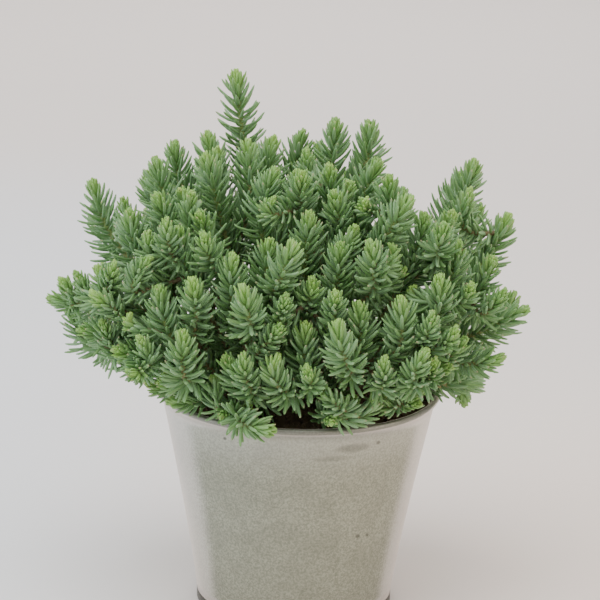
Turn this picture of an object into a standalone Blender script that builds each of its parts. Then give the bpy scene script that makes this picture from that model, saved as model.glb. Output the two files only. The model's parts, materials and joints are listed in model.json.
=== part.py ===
"""A sedum growing in a round zinc pot.

Lengths are in millimetres until a mesh is made, and the meshes are in metres.
The pot stands on z = 0 around the z axis, and its front faces -y.
"""

import math

import bpy
import numpy as np
from mathutils.bvhtree import BVHTree
from mathutils.kdtree import KDTree

METRE = 0.001
SEED = 11

# The pot
RIM_RADIUS = 65.0
POT_HEIGHT = 103.0
BEAD_RADIUS = 1.5
WALL_TOP_RADIUS = 63.0
WALL_FOOT_RADIUS = 45.6
FOOT_HEIGHT = 4.6
FOOT_RING = 1.6
SHEET = 0.8
FLARE = 1.15
SIDES = 44
SEAT = 0.3

BEAD_CENTRE = (RIM_RADIUS - BEAD_RADIUS, POT_HEIGHT - BEAD_RADIUS)
BEAD_ANGLES = (-70, -20, 30, 80, 130, 180)
WALL_BOTTOM = FOOT_HEIGHT + SEAT
WALL_TOP = POT_HEIGHT - 2 * BEAD_RADIUS
WALL_STEPS = 3

# The soil
SOIL_EDGE = 97.0
SOIL_MIDDLE = 102.0
SOIL_SHOULDER = 30.0
SOIL_SHOULDER_HEIGHT = 100.5
HOLE_DEPTH = 8.0
HOLE_SIDES = 6

# The direction that the plant was measured from: across and up in a plane through the rim's centre
LOOK_DOWN = math.radians(15.0)
LOOK_ROLL = math.radians(1.5)
EYE_DISTANCE = 1009.0
EYE_ACROSS = 0.5
EYE_UP = 39.4

# The mass of shoots, as half sizes around its heart
HEART = np.array((0.0, 0.0, POT_HEIGHT + 30.0))
MASS_WIDTH = 112.0
MASS_FRONT = 64.0
MASS_BACK = 82.0
MASS_RISE = 84.0
MASS_DROP = 45.0
MASS_ROUNDNESS = (3.0, 2.0, 2.2)
NEAREST = 130.0
FARTHEST = -60.0

# The colours
ZINC = (0.38, 0.38, 0.32)
DARK_ZINC = (0.22, 0.22, 0.19)
EARTH = (0.035, 0.025, 0.018)
LEAF_GREEN = (0.17, 0.3, 0.12)
ZINC_METALLIC = 0.8
ZINC_ROUGHNESS = 0.45
EARTH_ROUGHNESS = 0.95
LEAF_ROUGHNESS = 0.55

# The shoots
STEMS = 54
STEM_RADIUS = 1.5
CORE_RADIUS = 2.0
CORE_TIP_RADIUS = 1.5
ROOT_CIRCLE = 50.0
ROOT_SPACING = 9.0
ROOT_ROUNDS = 200
ROOT_RISE = 2.0
ROOT_LEAN = 0.006
FAN_DEPTH = 60.0
START_PULL = 0.35
TIP_PULL = 0.4
FRONT_LEAN = 0.2
SIDE_LEAN = 0.3
SIDE_UPRIGHT = 0.8
FILL_OUTWARD = 0.4
RING_UPRIGHT = 0.8
MEASURED_FREEDOM = 0.35
AXIS_POINTS = 13
LEAF_STOPS = (3.5, 8.0, 13.5, 20.0, 27.5, 36.0, 45.0, 54.0)
SPREAD_STOPS = (0.0, 6.0, 14.0, 30.0, 45.0)
SPREADS = (12.0, 26.0, 48.0, 66.0, 78.0)
LENGTHS = (7.0, 10.0, 13.0, 14.5, 14.0)
SHORTEST_LEAF = 3.5
LEAF_TRIM = 1.0
LEAF_BREADTH = 2.4
LEAF_SAMPLES = (0.1, 0.3, 0.5, 0.7, 0.85, 1.0)
LEAF_TIP = 0.15
LEAF_LIFT = 0.08
SPREAD_JITTER = 4.0
LENGTH_JITTER = 0.08
ROOM_STEP = 1.4
ROOM_SEARCH = 16.0
TANGENT_REACH = 1.5
FACET_TRIES = 14
FULL_REACH = 9.5
SMALL_REACH = 5.5
BARE_REACH = 3.0
EASE_ROUNDS = 60
EASE_STEP = 1.5
EASE_EACH_OTHER = 0.25
EASE_FROM_STILL = 0.4
EASE_SMOOTHING = 0.125
EASE_HOMEWARD = 0.12
EASE_UPRIGHT = 0.22
UPRIGHT_REACH = 38.0
EASE_ROOTED_POINTS = 3.0
EASE_BESIDE_PARENT = 0.6
TINY = 1e-6
SADDLE_IN = 57.0
SADDLE_OUT = 76.0
SADDLE_RISE = 5.0
OVERHANG = 8.0

# Where side shoots fork off
LOWEST_FORK = 7.0
HIGHEST_FORK = 0.55
FORK_BELOW_LEAVES = 5.0
FORK_OUTWARD = 0.9
FORK_HALF_WIDTH = 1.6
FORK_STEP = 1.5
FORK_RISE = 7.0
FORK_RUN = 13.0
FORK_LOW_COST = 3.0
FORK_NEAR_COST = 4.0
LONGEST_BARE = 16.0
RING_GAP = 2.0
CLEAR_STARTS = (3.0, 14.0, 0.5)

# Shoots as measured: tip across and up, foot across and up, rings of leaves
SHOOTS = (
    (-29, 144, -26, 111, 6), (-41, 116, -39, 106, 4), (-53, 112, -48, 88, 5), (-43, 106, -36, 78, 6),
    (-23, 112, -19, 69, 6), (-12, 114, -16, 101, 4), (-11, 99, -17, 83, 5), (5, 116, 2, 92, 5),
    (17, 122, 16, 101, 5), (28, 121, 24, 97, 5), (13, 100, 18, 88, 5), (0, 96, 0, 74, 5),
    (37, 103, 32, 92, 5), (41, 96, 43, 65, 6), (52, 84, 48, 74, 5), (-95, 94, -88, 59, 6),
    (-78, 80, -76, 53, 6), (-66, 104, -62, 85, 5), (-69, 85, -66, 69, 5), (-56, 72, -53, 55, 5),
    (-49, 76, -47, 60, 4), (-41, 67, -38, 51, 5), (-115, 40, -92, 44, 6), (-93, 54, -86, 42, 5),
    (-101, 25, -64, 21, 6), (-85, 16, -64, 18, 5), (-78, 9, -57, 16, 5), (-28, 60, -28, 44, 5),
    (-15, 66, -17, 53, 5), (-6, 65, -8, 39, 5), (5, 79, 4, 58, 5), (12, 88, 12, 69, 5),
    (18, 65, 18, 39, 5), (31, 66, 30, 39, 6), (3, 52, 2, 39, 4), (3, 28, 3, 14, 4),
    (27, 38, 28, 25, 4), (47, 42, 49, 25, 5), (-64, 45, -62, 28, 5), (-46, 51, -44, 25, 6),
    (-52, 27, -52, 14, 5), (-27, 47, -22, 18, 6), (20, 30, 27, 7, 6), (-34, 13, -23, -7, 5),
    (-7, 15, -9, 3, 4), (58, 78, 57, 62, 5), (65, 73, 64, 58, 5), (81, 103, 72, 65, 6),
    (97, 78, 88, 57, 5), (72, 66, 70, 51, 5), (88, 58, 82, 46, 6), (65, 53, 64, 35, 5),
    (105, 35, 86, 25, 5), (94, 13, 74, 7, 5), (70, 8, 56, 16, 4),
)

# Shoots that droop over the rim, in the same terms
RIM_SHOOTS = (
    (-60, -11, -43, -7, 4), (-36, -17, -27, -9, 3), (-12, -18, 6, -11, 4), (15, -18, 18, -9, 3),
    (56, -9, 47, 2, 3), (76, -9, 63, 2, 4), (-69, 2, -53, 9, 4),
)

# Small side shoots: tip across and up, and how far they lean to the right
SIDE_SHOOTS = (
    (-36, 109, 0.1), (-81, 85, -0.2), (-67, 57, 0.5), (-57, 87, -0.1), (-58, 74, -0.2), (-48, 84, 0.2),
    (-110, 49, -0.6), (-103, 52, -0.4), (-86, 56, 0.2), (-93, 45, -0.8), (-88, 32, -0.3), (-77, 33, 0.1),
    (-6, 45, 0.2), (23, 69, 0.2), (38, 66, 0.1), (46, 55, 0.7), (14, 41, -0.1), (16, 34, 0.1),
    (54, 47, 0.3), (50, 35, 0.2), (-11, 31, 0.5), (-23, 16, -0.2), (1, 11, 0.0), (-16, 7, 0.0),
    (14, 3, -0.8), (35, 0, 0.2), (42, 15, 0.1), (50, 12, 0.2), (58, 17, 0.3), (-22, -10, -0.1),
    (70, 80, 0.2), (77, 48, 0.4), (93, 46, 0.5), (19, 91, 0.3), (32, 86, 0.7), (-4, 99, 0.0),
    (-10, 87, 0.4), (-65, 71, 0.1), (60, 36, 0.3), (69, 29, 0.5), (76, 19, 0.7), (63, 16, 0.4),
    (-74, 22, -0.5), (-63, 8, -0.3), (-44, 3, -0.1), (42, -3, 0.2), (28, -6, 0.1),
)

# Shoots that fill the rest of the mass evenly by a rule
FILL_TRIES = 420
FILL_SPACING = 22.0
FILL_SIDE_SPACING = 17.5
FILL_LOWEST = -0.35
FILL_RINGS = 6
OUTLINE_REACH = 10.0
OUTLINE_BESIDE = 15.0
OUTLINE_MARGIN = 1.0
RIM_RING_TRIES = 72
RIM_RING_RADIUS = 64.0
RIM_RING_RISE = 17.0
RIM_RING_SPACING = 17.0
RIM_RING_RINGS = 4
SIDE_RINGS = 3


def unit(vectors):
    return vectors / np.linalg.norm(vectors, axis=-1, keepdims=True)


X_AXIS, Y_AXIS, Z_AXIS = np.eye(3)
LOOK = np.array((0.0, math.cos(LOOK_DOWN), -math.sin(LOOK_DOWN)))
RISE_LEVEL = np.array((0.0, math.sin(LOOK_DOWN), math.cos(LOOK_DOWN)))
ACROSS = math.cos(LOOK_ROLL) * X_AXIS + math.sin(LOOK_ROLL) * RISE_LEVEL
RISE = math.cos(LOOK_ROLL) * RISE_LEVEL - math.sin(LOOK_ROLL) * X_AXIS
RIM_CENTRE = POT_HEIGHT * Z_AXIS
EYE = RIM_CENTRE - EYE_DISTANCE * LOOK + EYE_ACROSS * ACROSS + EYE_UP * RISE


# The pot and the soil

def wall_radius(height):
    part = np.clip((height - WALL_BOTTOM) / (WALL_TOP - WALL_BOTTOM), 0.0, 1.0)
    return WALL_FOOT_RADIUS + (WALL_TOP_RADIUS - WALL_FOOT_RADIUS) * part**FLARE


def soil_height(radius):
    edge = wall_radius(SOIL_EDGE) - SHEET - SEAT
    return np.interp(radius, (0.0, SOIL_SHOULDER, edge), (SOIL_MIDDLE, SOIL_SHOULDER_HEIGHT, SOIL_EDGE))


def add_object(name, points, faces):
    mesh = bpy.data.meshes.new(name)
    mesh.from_pydata([tuple(METRE * value for value in point) for point in points], [], faces)
    mesh.validate()
    thing = bpy.data.objects.new(name, mesh)
    bpy.context.scene.collection.objects.link(thing)
    return thing


def paint(thing, colour, metallic, roughness):
    material = bpy.data.materials.new(thing.name)
    material.use_nodes = True
    shader = material.node_tree.nodes["Principled BSDF"]
    shader.inputs["Base Color"].default_value = (*colour, 1.0)
    shader.inputs["Metallic"].default_value = metallic
    shader.inputs["Roughness"].default_value = roughness
    thing.data.materials.append(material)


def turned(name, profile, closed):
    """Turns a profile of radius and height, which runs anticlockwise, around the z axis."""
    points, faces = [], []
    inner = [pair for pair in profile if pair[0] > 0]
    for step in range(SIDES):
        turn = 2 * math.pi * step / SIDES
        points += [(r * math.cos(turn), r * math.sin(turn), z) for r, z in inner]
    count = len(inner)
    last = count if closed else count - 1
    for step in range(SIDES):
        here, there = step * count, (step + 1) % SIDES * count
        for i in range(last):
            j = (i + 1) % count
            faces.append((here + i, there + i, there + j, here + j))
    if not closed:
        for centre, row, flip in ((profile[0], 0, True), (profile[-1], count - 1, False)):
            points.append((0.0, 0.0, centre[1]))
            for step in range(SIDES):
                pair = (step * count + row, (step + 1) % SIDES * count + row)
                pair = pair[::-1] if flip else pair
                faces.append((*pair, len(points) - 1))
    thing = add_object(name, points, faces)
    for polygon in thing.data.polygons:
        polygon.use_smooth = True
    return thing


def make_pot_wall():
    heights = np.linspace(WALL_BOTTOM, WALL_TOP, WALL_STEPS + 1)
    outside = [(wall_radius(z), z) for z in heights]
    bead_radius, bead_height = BEAD_CENTRE
    bead = [
        (
            bead_radius + BEAD_RADIUS * math.cos(math.radians(angle)),
            bead_height + BEAD_RADIUS * math.sin(math.radians(angle)),
        )
        for angle in BEAD_ANGLES
    ]
    inside = [(wall_radius(z) - SHEET, z) for z in heights[::-1]]
    wall = turned("pot_wall", outside + bead + inside, True)
    paint(wall, ZINC, ZINC_METALLIC, ZINC_ROUGHNESS)
    return wall


def make_pot_base():
    outer, inner = WALL_FOOT_RADIUS, WALL_FOOT_RADIUS - FOOT_RING
    ring = [(outer, 0.0), (outer, FOOT_HEIGHT), (inner, FOOT_HEIGHT), (inner, SHEET)]
    profile = [(0.0, 0.0), *ring, (0.0, SHEET)]
    base = turned("pot_base", profile, False)
    paint(base, DARK_ZINC, ZINC_METALLIC, ZINC_ROUGHNESS)


def make_soil(roots):
    heights = np.linspace(WALL_BOTTOM, WALL_TOP, WALL_STEPS + 1)[1:-1]
    side = [(wall_radius(z) - SHEET - SEAT, z) for z in (WALL_BOTTOM, *heights, SOIL_EDGE)]
    pan = WALL_FOOT_RADIUS - FOOT_RING - SEAT
    foot = [(0.0, SHEET + SEAT), (pan, SHEET + SEAT), (pan, FOOT_HEIGHT)]
    profile = [*foot, *side, (SOIL_SHOULDER, SOIL_SHOULDER_HEIGHT), (0.0, SOIL_MIDDLE)]
    soil = turned("soil", profile, False)
    radius = (STEM_RADIUS + SEAT) / math.cos(math.pi / HOLE_SIDES)
    ring = [2 * math.pi * side / HOLE_SIDES for side in range(HOLE_SIDES)]
    points, faces = [], []
    for root in roots:
        start = len(points)
        for height in (root[2] - HOLE_DEPTH, root[2] + HOLE_DEPTH):
            points += [
                (root[0] + radius * math.cos(turn), root[1] + radius * math.sin(turn), height)
                for turn in ring
            ]
        bottom = [start + side for side in range(HOLE_SIDES)]
        top = [start + HOLE_SIDES + side for side in range(HOLE_SIDES)]
        faces += [tuple(bottom[::-1]), tuple(top)]
        for side in range(HOLE_SIDES):
            after = (side + 1) % HOLE_SIDES
            faces.append((bottom[side], bottom[after], top[after], top[side]))
    cutter = add_object("stem_holes", points, faces)
    cutter.hide_render = True
    cutter.display_type = "WIRE"
    cut = soil.modifiers.new("holes", "BOOLEAN")
    cut.operation = "DIFFERENCE"
    cut.solver = "EXACT"
    cut.object = cutter
    paint(soil, EARTH, 0.0, EARTH_ROUGHNESS)


# Where the shoots go

def mass_value(places):
    """How far places lie out in the mass of shoots: below 1 inside it."""
    offset = places - HEART
    depth = np.where(offset[..., 1] < 0, MASS_FRONT, MASS_BACK)
    rise = np.where(offset[..., 2] < 0, MASS_DROP, MASS_RISE)
    halves = (MASS_WIDTH, depth, rise)
    return sum((np.abs(offset[..., i]) / halves[i]) ** MASS_ROUNDNESS[i] for i in range(3))


def sight_line(across, up):
    flat = RIM_CENTRE + across * ACROSS + up * RISE
    nears = np.arange(NEAREST, FARTHEST, -1.0)
    return flat + nears[:, None] * unit(EYE - flat)


def on_the_mass(across, up):
    line = sight_line(across, up)
    values = mass_value(line)
    inside = np.flatnonzero(values < 1)
    return line[inside[0] if len(inside) else np.argmin(values)]


def over_the_rim(across, up):
    line = sight_line(across, up)
    line = line[line[:, 1] < 1]
    return line[np.argmin(np.abs(np.hypot(line[:, 0], line[:, 1]) - RIM_RADIUS - OVERHANG))]


class Shoot:
    """One leafy shoot: its tip, the way the tip points, its rings of leaves, and later its axis."""

    def __init__(self, tip, way, rings, freedom):
        self.tip = tip
        self.way = unit(way)
        self.rings = rings
        self.freedom = freedom
        self.parent = None
        self.joint = None
        self.root = None
        self.number = None
        self.points = None

    @property
    def leafy(self):
        return LEAF_STOPS[self.rings - 1] + LEAF_STOPS[0]

    def lay_axis(self, start, way):
        """A smooth curve from its start to its tip."""
        span = np.linalg.norm(self.tip - start)
        first = start + START_PULL * span * unit(way)
        second = self.tip - TIP_PULL * span * self.way
        t = np.linspace(0, 1, AXIS_POINTS)[:, None]
        s = 1 - t
        self.points = s**3 * start + 3 * s**2 * t * first + 3 * s * t**2 * second + t**3 * self.tip

    def arcs(self):
        steps = np.linalg.norm(np.diff(self.points, axis=0), axis=1)
        return np.concatenate(((0.0,), np.cumsum(steps)))

    def at(self, arc):
        """Places along the axis at distances from its start."""
        arcs = self.arcs()
        arc = np.clip(arc, 0, arcs[-1])
        return np.stack([np.interp(arc, arcs, self.points[:, i]) for i in range(3)], axis=-1)

    def below_tip(self):
        arcs = self.arcs()
        return arcs[-1] - arcs

    def reaches(self):
        room = FULL_REACH if self.rings > SIDE_RINGS else SMALL_REACH
        return np.where(self.below_tip() < self.leafy, room, BARE_REACH)


def measured_shoots():
    shoots = []
    for across, up, foot_across, foot_up, rings in SHOOTS:
        tip = on_the_mass(across, up)
        run = np.array((across - foot_across, 0.0, (up - foot_up) / math.cos(LOOK_DOWN)))
        lean = FRONT_LEAN * np.linalg.norm(run) * tip[1] / MASS_FRONT
        shoots.append(Shoot(tip, run + lean * Y_AXIS, rings + 1, MEASURED_FREEDOM))
    for across, up, foot_across, foot_up, rings in RIM_SHOOTS:
        tip = over_the_rim(across, up)
        run = np.array((across - foot_across, 0.0, up - foot_up))
        lean = np.linalg.norm(run) * tip[1] / RIM_RADIUS
        shoots.append(Shoot(tip, run + lean * Y_AXIS, rings, MEASURED_FREEDOM))
    return shoots


def measured_side_shoots():
    shoots = []
    for across, up, lean in SIDE_SHOOTS:
        tip = on_the_mass(across, up)
        way = np.array((lean, SIDE_LEAN * tip[1] / MASS_FRONT, SIDE_UPRIGHT))
        shoots.append(Shoot(tip, way, SIDE_RINGS, MEASURED_FREEDOM))
    return shoots


def fill_places():
    """Places spread evenly over the mass by the golden angle, from the top down."""
    golden = math.pi * (3 - math.sqrt(5))
    for step in range(FILL_TRIES):
        height = 1 - (1 - FILL_LOWEST) * (step + 0.5) / FILL_TRIES
        around = math.sqrt(1 - height * height)
        way = np.array((around * math.cos(golden * step), around * math.sin(golden * step), height))
        line = HEART + np.arange(0.0, 2 * MASS_WIDTH, 0.5)[:, None] * way
        yield line[np.argmin(np.abs(mass_value(line) - 1))], way


def seen_at(places):
    """Where places are seen from the measuring eye, across and up in the plane of the measures."""
    rays = unit(places - EYE)
    hits = EYE + rays * (((RIM_CENTRE - EYE) @ LOOK) / (rays @ LOOK))[..., None] - RIM_CENTRE
    return hits @ ACROSS, hits @ RISE


def within_outline(place):
    """Whether a place shows neither above nor beside the measured shoots."""
    across, up = seen_at(place)
    below = any(abs(tip[0] - across) < OUTLINE_REACH and tip[1] > up + OUTLINE_MARGIN for tip in SHOOTS)
    beside = any(
        abs(tip[1] - up) < OUTLINE_BESIDE and tip[0] * np.sign(across) > abs(across) + OUTLINE_MARGIN
        for tip in SHOOTS
    )
    return below and beside


def add_fill(shoots, spacing, rings):
    for place, way in fill_places():
        if within_outline(place) and min(np.linalg.norm(place - other.tip) for other in shoots) > spacing:
            shoots.append(Shoot(place, FILL_OUTWARD * way + SIDE_UPRIGHT * Z_AXIS, rings, 1.0))


def add_rim_ring(shoots):
    """Low shoots that lean out all around just above the rim, wherever there is room."""
    for step in range(RIM_RING_TRIES):
        turn = 2 * math.pi * step / RIM_RING_TRIES
        way = np.array((math.cos(turn), math.sin(turn), 0.0))
        tip = RIM_CENTRE + RIM_RING_RADIUS * way + RIM_RING_RISE * Z_AXIS
        if min(np.linalg.norm(tip - other.tip) for other in shoots) > RIM_RING_SPACING:
            shoots.append(Shoot(tip, way + RING_UPRIGHT * Z_AXIS, RIM_RING_RINGS, 1.0))


def clear_of_pot(places, room):
    """Moves places off the bead, the wall and the soil by at least their room."""
    places = places.copy()
    radius = np.maximum(np.hypot(places[..., 0], places[..., 1]), TINY)
    height = places[..., 2]
    from_bead = np.stack((radius - BEAD_CENTRE[0], height - BEAD_CENTRE[1]), axis=-1)
    distance = np.maximum(np.linalg.norm(from_bead, axis=-1), TINY)
    short = np.clip(BEAD_RADIUS + room - distance, 0, None)
    new_radius = radius + short * from_bead[..., 0] / distance
    height = height + short * from_bead[..., 1] / distance
    wall = wall_radius(height)
    low = height < BEAD_CENTRE[1]
    outside = low & (new_radius > wall - SHEET / 2)
    inside = low & ~outside
    new_radius = np.where(outside, np.maximum(new_radius, wall + room), new_radius)
    new_radius = np.where(inside, np.minimum(new_radius, wall - SHEET - room), new_radius)
    height = np.where(inside, np.maximum(height, soil_height(new_radius) + room), height)
    places[..., 0] *= new_radius / radius
    places[..., 1] *= new_radius / radius
    places[..., 2] = height
    return places


def lift_over_rim(places):
    """Lifts an axis that crosses the rim well clear of it."""
    radius = np.hypot(places[..., 0], places[..., 1])
    over = (radius > SADDLE_IN) & (radius < SADDLE_OUT)
    places[..., 2] = np.where(over, np.maximum(places[..., 2], POT_HEIGHT + SADDLE_RISE), places[..., 2])
    return places


def distances(places, others):
    """The distance from each place to each other."""
    squares = (places**2).sum(axis=1)[:, None] + (others**2).sum(axis=1)[None]
    return np.sqrt(np.maximum(squares - 2 * places @ others.T, 0.0))


def crowd_push(places, reach, others, other_reach, apart):
    """The push on each place from the others that are within reach; apart says which pairs count."""
    distance = distances(places, others) + TINY
    weight = np.clip(reach[:, None] + other_reach[None] - distance, 0, None) * apart / distance
    return places * weight.sum(axis=1)[:, None] - weight @ others


def ease_apart(moving, still):
    """Bends the axes of the moving shoots until their leaves have room, holding their roots."""
    points = np.array([shoot.points for shoot in moving])
    home = points[:, -1].copy()
    count = len(moving)
    number = np.repeat(np.arange(count), AXIS_POINTS)
    apart = (number[:, None] != number[None]).astype(float)
    loose = np.minimum(np.arange(AXIS_POINTS) / EASE_ROOTED_POINTS, 1.0)[None, :, None]
    freedom = np.array([shoot.freedom for shoot in moving])[:, None, None]
    if still:
        others = np.concatenate([shoot.points for shoot in still])
        other_reach = np.concatenate([shoot.reaches() for shoot in still])
        place_of = {shoot: place for place, shoot in enumerate(still)}
        other_apart = np.ones((count, AXIS_POINTS, len(still), AXIS_POINTS))
        early = np.arange(AXIS_POINTS) < EASE_BESIDE_PARENT * AXIS_POINTS
        for index, shoot in enumerate(moving):
            other_apart[index, early, place_of[shoot.parent]] = 0.0
        other_apart = other_apart.reshape(count * AXIS_POINTS, -1)
    ways = np.array([shoot.way for shoot in moving])[:, None]
    stand = np.clip((home[:, None, 2:] - POT_HEIGHT) / UPRIGHT_REACH, 0, 1)
    hold = EASE_UPRIGHT * stand * np.clip(ways[..., 2:], 0, 1)
    for _ in range(EASE_ROUNDS):
        reach = np.concatenate([shoot.reaches() for shoot in moving])
        below = np.array([shoot.below_tip() for shoot in moving])[..., None]
        flat = points.reshape(-1, 3)
        push = EASE_EACH_OTHER * crowd_push(flat, reach, flat, reach, apart)
        if still:
            push += EASE_FROM_STILL * crowd_push(flat, reach, others, other_reach, other_apart)
        size = np.linalg.norm(push, axis=1, keepdims=True) + TINY
        push = (push * np.minimum(1.0, EASE_STEP / size)).reshape(points.shape)
        along = (push @ LOOK)[..., None] * LOOK
        push = along + freedom * (push - along)
        points += loose * push
        bend = points[:, :-2] + points[:, 2:] - 2 * points[:, 1:-1]
        points[:, 1:-1] += EASE_SMOOTHING * loose[:, 1:-1] * bend
        points[:, -1] += EASE_HOMEWARD * (home - points[:, -1])
        straight = points[:, -1:] - below * ways
        points += hold * np.clip(1 - below / UPRIGHT_REACH, 0, 1) * loose * (straight - points)
        points[:, 2:] = lift_over_rim(clear_of_pot(points[:, 2:], CORE_RADIUS + 1.0))
        for shoot, line in zip(moving, points):
            shoot.points = line
    for shoot in moving:
        shoot.tip = shoot.points[-1]


def pair_up(shoots):
    """Joins the closest shoots in pairs until few enough stems are left; returns the joined ones."""
    pairs = sorted(
        (np.linalg.norm(a.tip - b.tip), i, j)
        for i, a in enumerate(shoots)
        for j, b in enumerate(shoots)
        if i < j
    )
    carried, joined = {}, []
    for _, i, j in pairs:
        if len(shoots) - len(joined) <= STEMS:
            break
        if shoots[i].parent or shoots[j].parent or j in carried or carried.get(i, 0) > 1:
            continue
        carried[i] = carried.get(i, 0) + 1
        shoots[j].parent = shoots[i]
        joined.append(shoots[j])
    return joined


def root_places(shoots):
    """Roots spread over the soil in the order that the shoots lean out, then eased apart."""
    lean = [math.atan2(math.hypot(s.tip[0], s.tip[1]), s.tip[2] - POT_HEIGHT + FAN_DEPTH) for s in shoots]
    rank = np.argsort(np.argsort(lean))
    turn = np.array([math.atan2(s.tip[1], s.tip[0]) for s in shoots])
    radius = ROOT_CIRCLE * np.sqrt((rank + 0.5) / len(shoots))
    flat = np.stack((radius * np.cos(turn), radius * np.sin(turn)), axis=1)
    for _ in range(ROOT_ROUNDS):
        gap = flat[:, None] - flat[None]
        distance = np.linalg.norm(gap, axis=2) + TINY
        short = np.clip(ROOT_SPACING - distance, 0, None)
        np.fill_diagonal(short, 0)
        flat += 0.3 * (gap * (short / distance)[..., None]).sum(axis=1)
        size = np.linalg.norm(flat, axis=1, keepdims=True)
        flat *= np.minimum(1.0, ROOT_CIRCLE / size)
    return [np.array((x, y, soil_height(math.hypot(x, y)))) for x, y in flat]


def junction(shoot, arc):
    """Where a side shoot leaves its parent: the place and a way up and out of it."""
    shoot.joint = arc
    place = shoot.parent.at(arc)
    along = unit(shoot.parent.at(arc + TANGENT_REACH) - shoot.parent.at(arc - TANGENT_REACH))
    return place, along + FORK_OUTWARD * unit(shoot.tip - place)


def nearest_arc(shoot, mains):
    """The best place on a main shoot to grow a side shoot from: near, and lower than its tip."""
    best = None
    for main in mains:
        arcs = np.arange(LOWEST_FORK, main.arcs()[-1] - LEAF_STOPS[1], FORK_STEP)
        places = main.at(arcs)
        distance = np.linalg.norm(places - shoot.tip, axis=1)
        cost = distance + FORK_LOW_COST * np.clip(places[:, 2] + FORK_RISE - shoot.tip[2], 0, None)
        cost += FORK_NEAR_COST * np.clip(FORK_RUN - distance, 0, None)
        pick = np.argmin(cost)
        if best is None or cost[pick] < best[0]:
            best = (cost[pick], main, arcs[pick])
    return best[1:]


def grow_plant():
    mains = measured_shoots()
    sides = measured_side_shoots()
    every = mains + sides
    add_rim_ring(every)
    add_fill(every, FILL_SPACING, FILL_RINGS)
    mains += every[len(mains) + len(sides):]
    count = len(every)
    add_fill(every, FILL_SIDE_SPACING, SIDE_RINGS)
    sides += every[count:]

    joined = pair_up(mains)
    rooted = [shoot for shoot in mains if shoot.parent is None]
    for shoot, root in zip(rooted, root_places(rooted)):
        shoot.root = root
        shoot.lay_axis(root + ROOT_RISE * Z_AXIS, Z_AXIS + ROOT_LEAN * (shoot.tip - root) * (1, 1, 0))
    ease_apart(rooted, [])
    for shoot in joined:
        length = shoot.parent.arcs()[-1]
        arc = max(LOWEST_FORK, min(length - shoot.parent.leafy - FORK_BELOW_LEAVES, HIGHEST_FORK * length))
        shoot.lay_axis(*junction(shoot, arc))
    ease_apart(joined, rooted)
    for shoot in sides:
        shoot.parent, arc = nearest_arc(shoot, mains)
        shoot.lay_axis(*junction(shoot, arc))
    ease_apart(sides, mains)
    return rooted, joined + sides


# The stems and their leaves

class Room:
    """Says how much room a round leaf has beside every other shoot and the pot."""

    def __init__(self, shoots):
        self.leafy, self.bare = [], []
        for number, shoot in enumerate(shoots):
            shoot.number = number
            total = shoot.arcs()[-1]
            for arc in np.arange(0.0, total + ROOM_STEP / 2, ROOM_STEP):
                leafy = total - arc < shoot.leafy
                place = shoot.at(arc)
                (self.leafy if leafy else self.bare).append((place, number))
        self.trees = [self.tree_of(self.leafy), self.tree_of(self.bare)]

    @staticmethod
    def tree_of(samples):
        tree = KDTree(len(samples))
        for index, (place, _) in enumerate(samples):
            tree.insert(place, index)
        tree.balance()
        return tree

    def fits(self, place, thick, own):
        nearest_other, nearest_own = 2 * ROOM_SEARCH, ROOM_SEARCH
        for _, index, distance in self.trees[0].find_range(place, ROOM_SEARCH):
            if self.leafy[index][1] == own:
                nearest_own = min(nearest_own, distance)
            else:
                nearest_other = min(nearest_other, distance)
        if nearest_other - nearest_own < 2 * thick + SEAT:
            return False
        for _, index, distance in self.trees[1].find_range(place, STEM_RADIUS + thick + 2 * SEAT):
            if self.bare[index][1] != own:
                return False
        moved = clear_of_pot(np.array(place), thick + SEAT)
        return np.linalg.norm(moved - place) < TINY


def frame_along(tangents):
    """Side vectors carried along an axis without twisting."""
    side = np.cross(tangents[0], X_AXIS if abs(tangents[0][0]) < 0.8 else Y_AXIS)
    sides = []
    for tangent in tangents:
        side = unit(side - tangent * (side @ tangent))
        sides.append(side)
    return sides


def stretch(start, end):
    """The end of a stretch of bare core, after its middle where the stretch is long."""
    return [(start + end) / 2, end] if end - start > LONGEST_BARE else [end]


def ring_stops(shoot, joints, first):
    """Where along an axis the core has a ring: the bare ones, then the leafy ones."""
    total = shoot.arcs()[-1]
    leafy = sorted(total - stop for stop in LEAF_STOPS[: shoot.rings] if total - stop > first + RING_GAP)
    bare = [first]
    for joint in sorted(joints):
        for stop in (joint - FORK_HALF_WIDTH, joint + FORK_HALF_WIDTH):
            if bare[-1] + RING_GAP < stop < leafy[0] - RING_GAP:
                bare += stretch(bare[-1], stop)
    bare += stretch(bare[-1], leafy[0])[:-1]
    return bare, leafy


class StemMesh:
    """The growing mesh of one stem with all its side shoots."""

    def __init__(self):
        self.points = []
        self.faces = {}
        self.serial = 0

    def copy(self):
        other = StemMesh()
        other.points = list(self.points)
        other.faces = dict(self.faces)
        other.serial = self.serial
        return other

    def add_point(self, place):
        self.points.append(place)
        return len(self.points) - 1

    def add_face(self, face):
        self.serial += 1
        self.faces[self.serial] = tuple(face)
        return self.serial

    def add_ring(self, centre, tangent, side, turn, radius):
        other = np.cross(tangent, side)
        angles = [turn + 2 * math.pi * k / 3 for k in range(3)]
        return [
            self.add_point(centre + radius * (math.cos(angle) * side + math.sin(angle) * other))
            for angle in angles
        ]

    def centre(self, key):
        return np.mean([self.points[i] for i in self.faces[key]], axis=0)

    def normal(self, key):
        a, b, c = (self.points[i] for i in self.faces[key])
        return unit(np.cross(b - a, c - a))

    def crosses(self, faces, others, fences=()):
        """Whether any of the faces crosses a fence, or one of the others that it shares no point with."""
        first = BVHTree.FromPolygons(self.points, faces)
        second = BVHTree.FromPolygons(self.points, others)
        if any(not set(faces[i]) & set(others[j]) for i, j in first.overlap(second)):
            return True
        return any(first.overlap(fence) for fence in fences)

    def tree(self):
        return BVHTree.FromPolygons(self.points, list(self.faces.values()))


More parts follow.
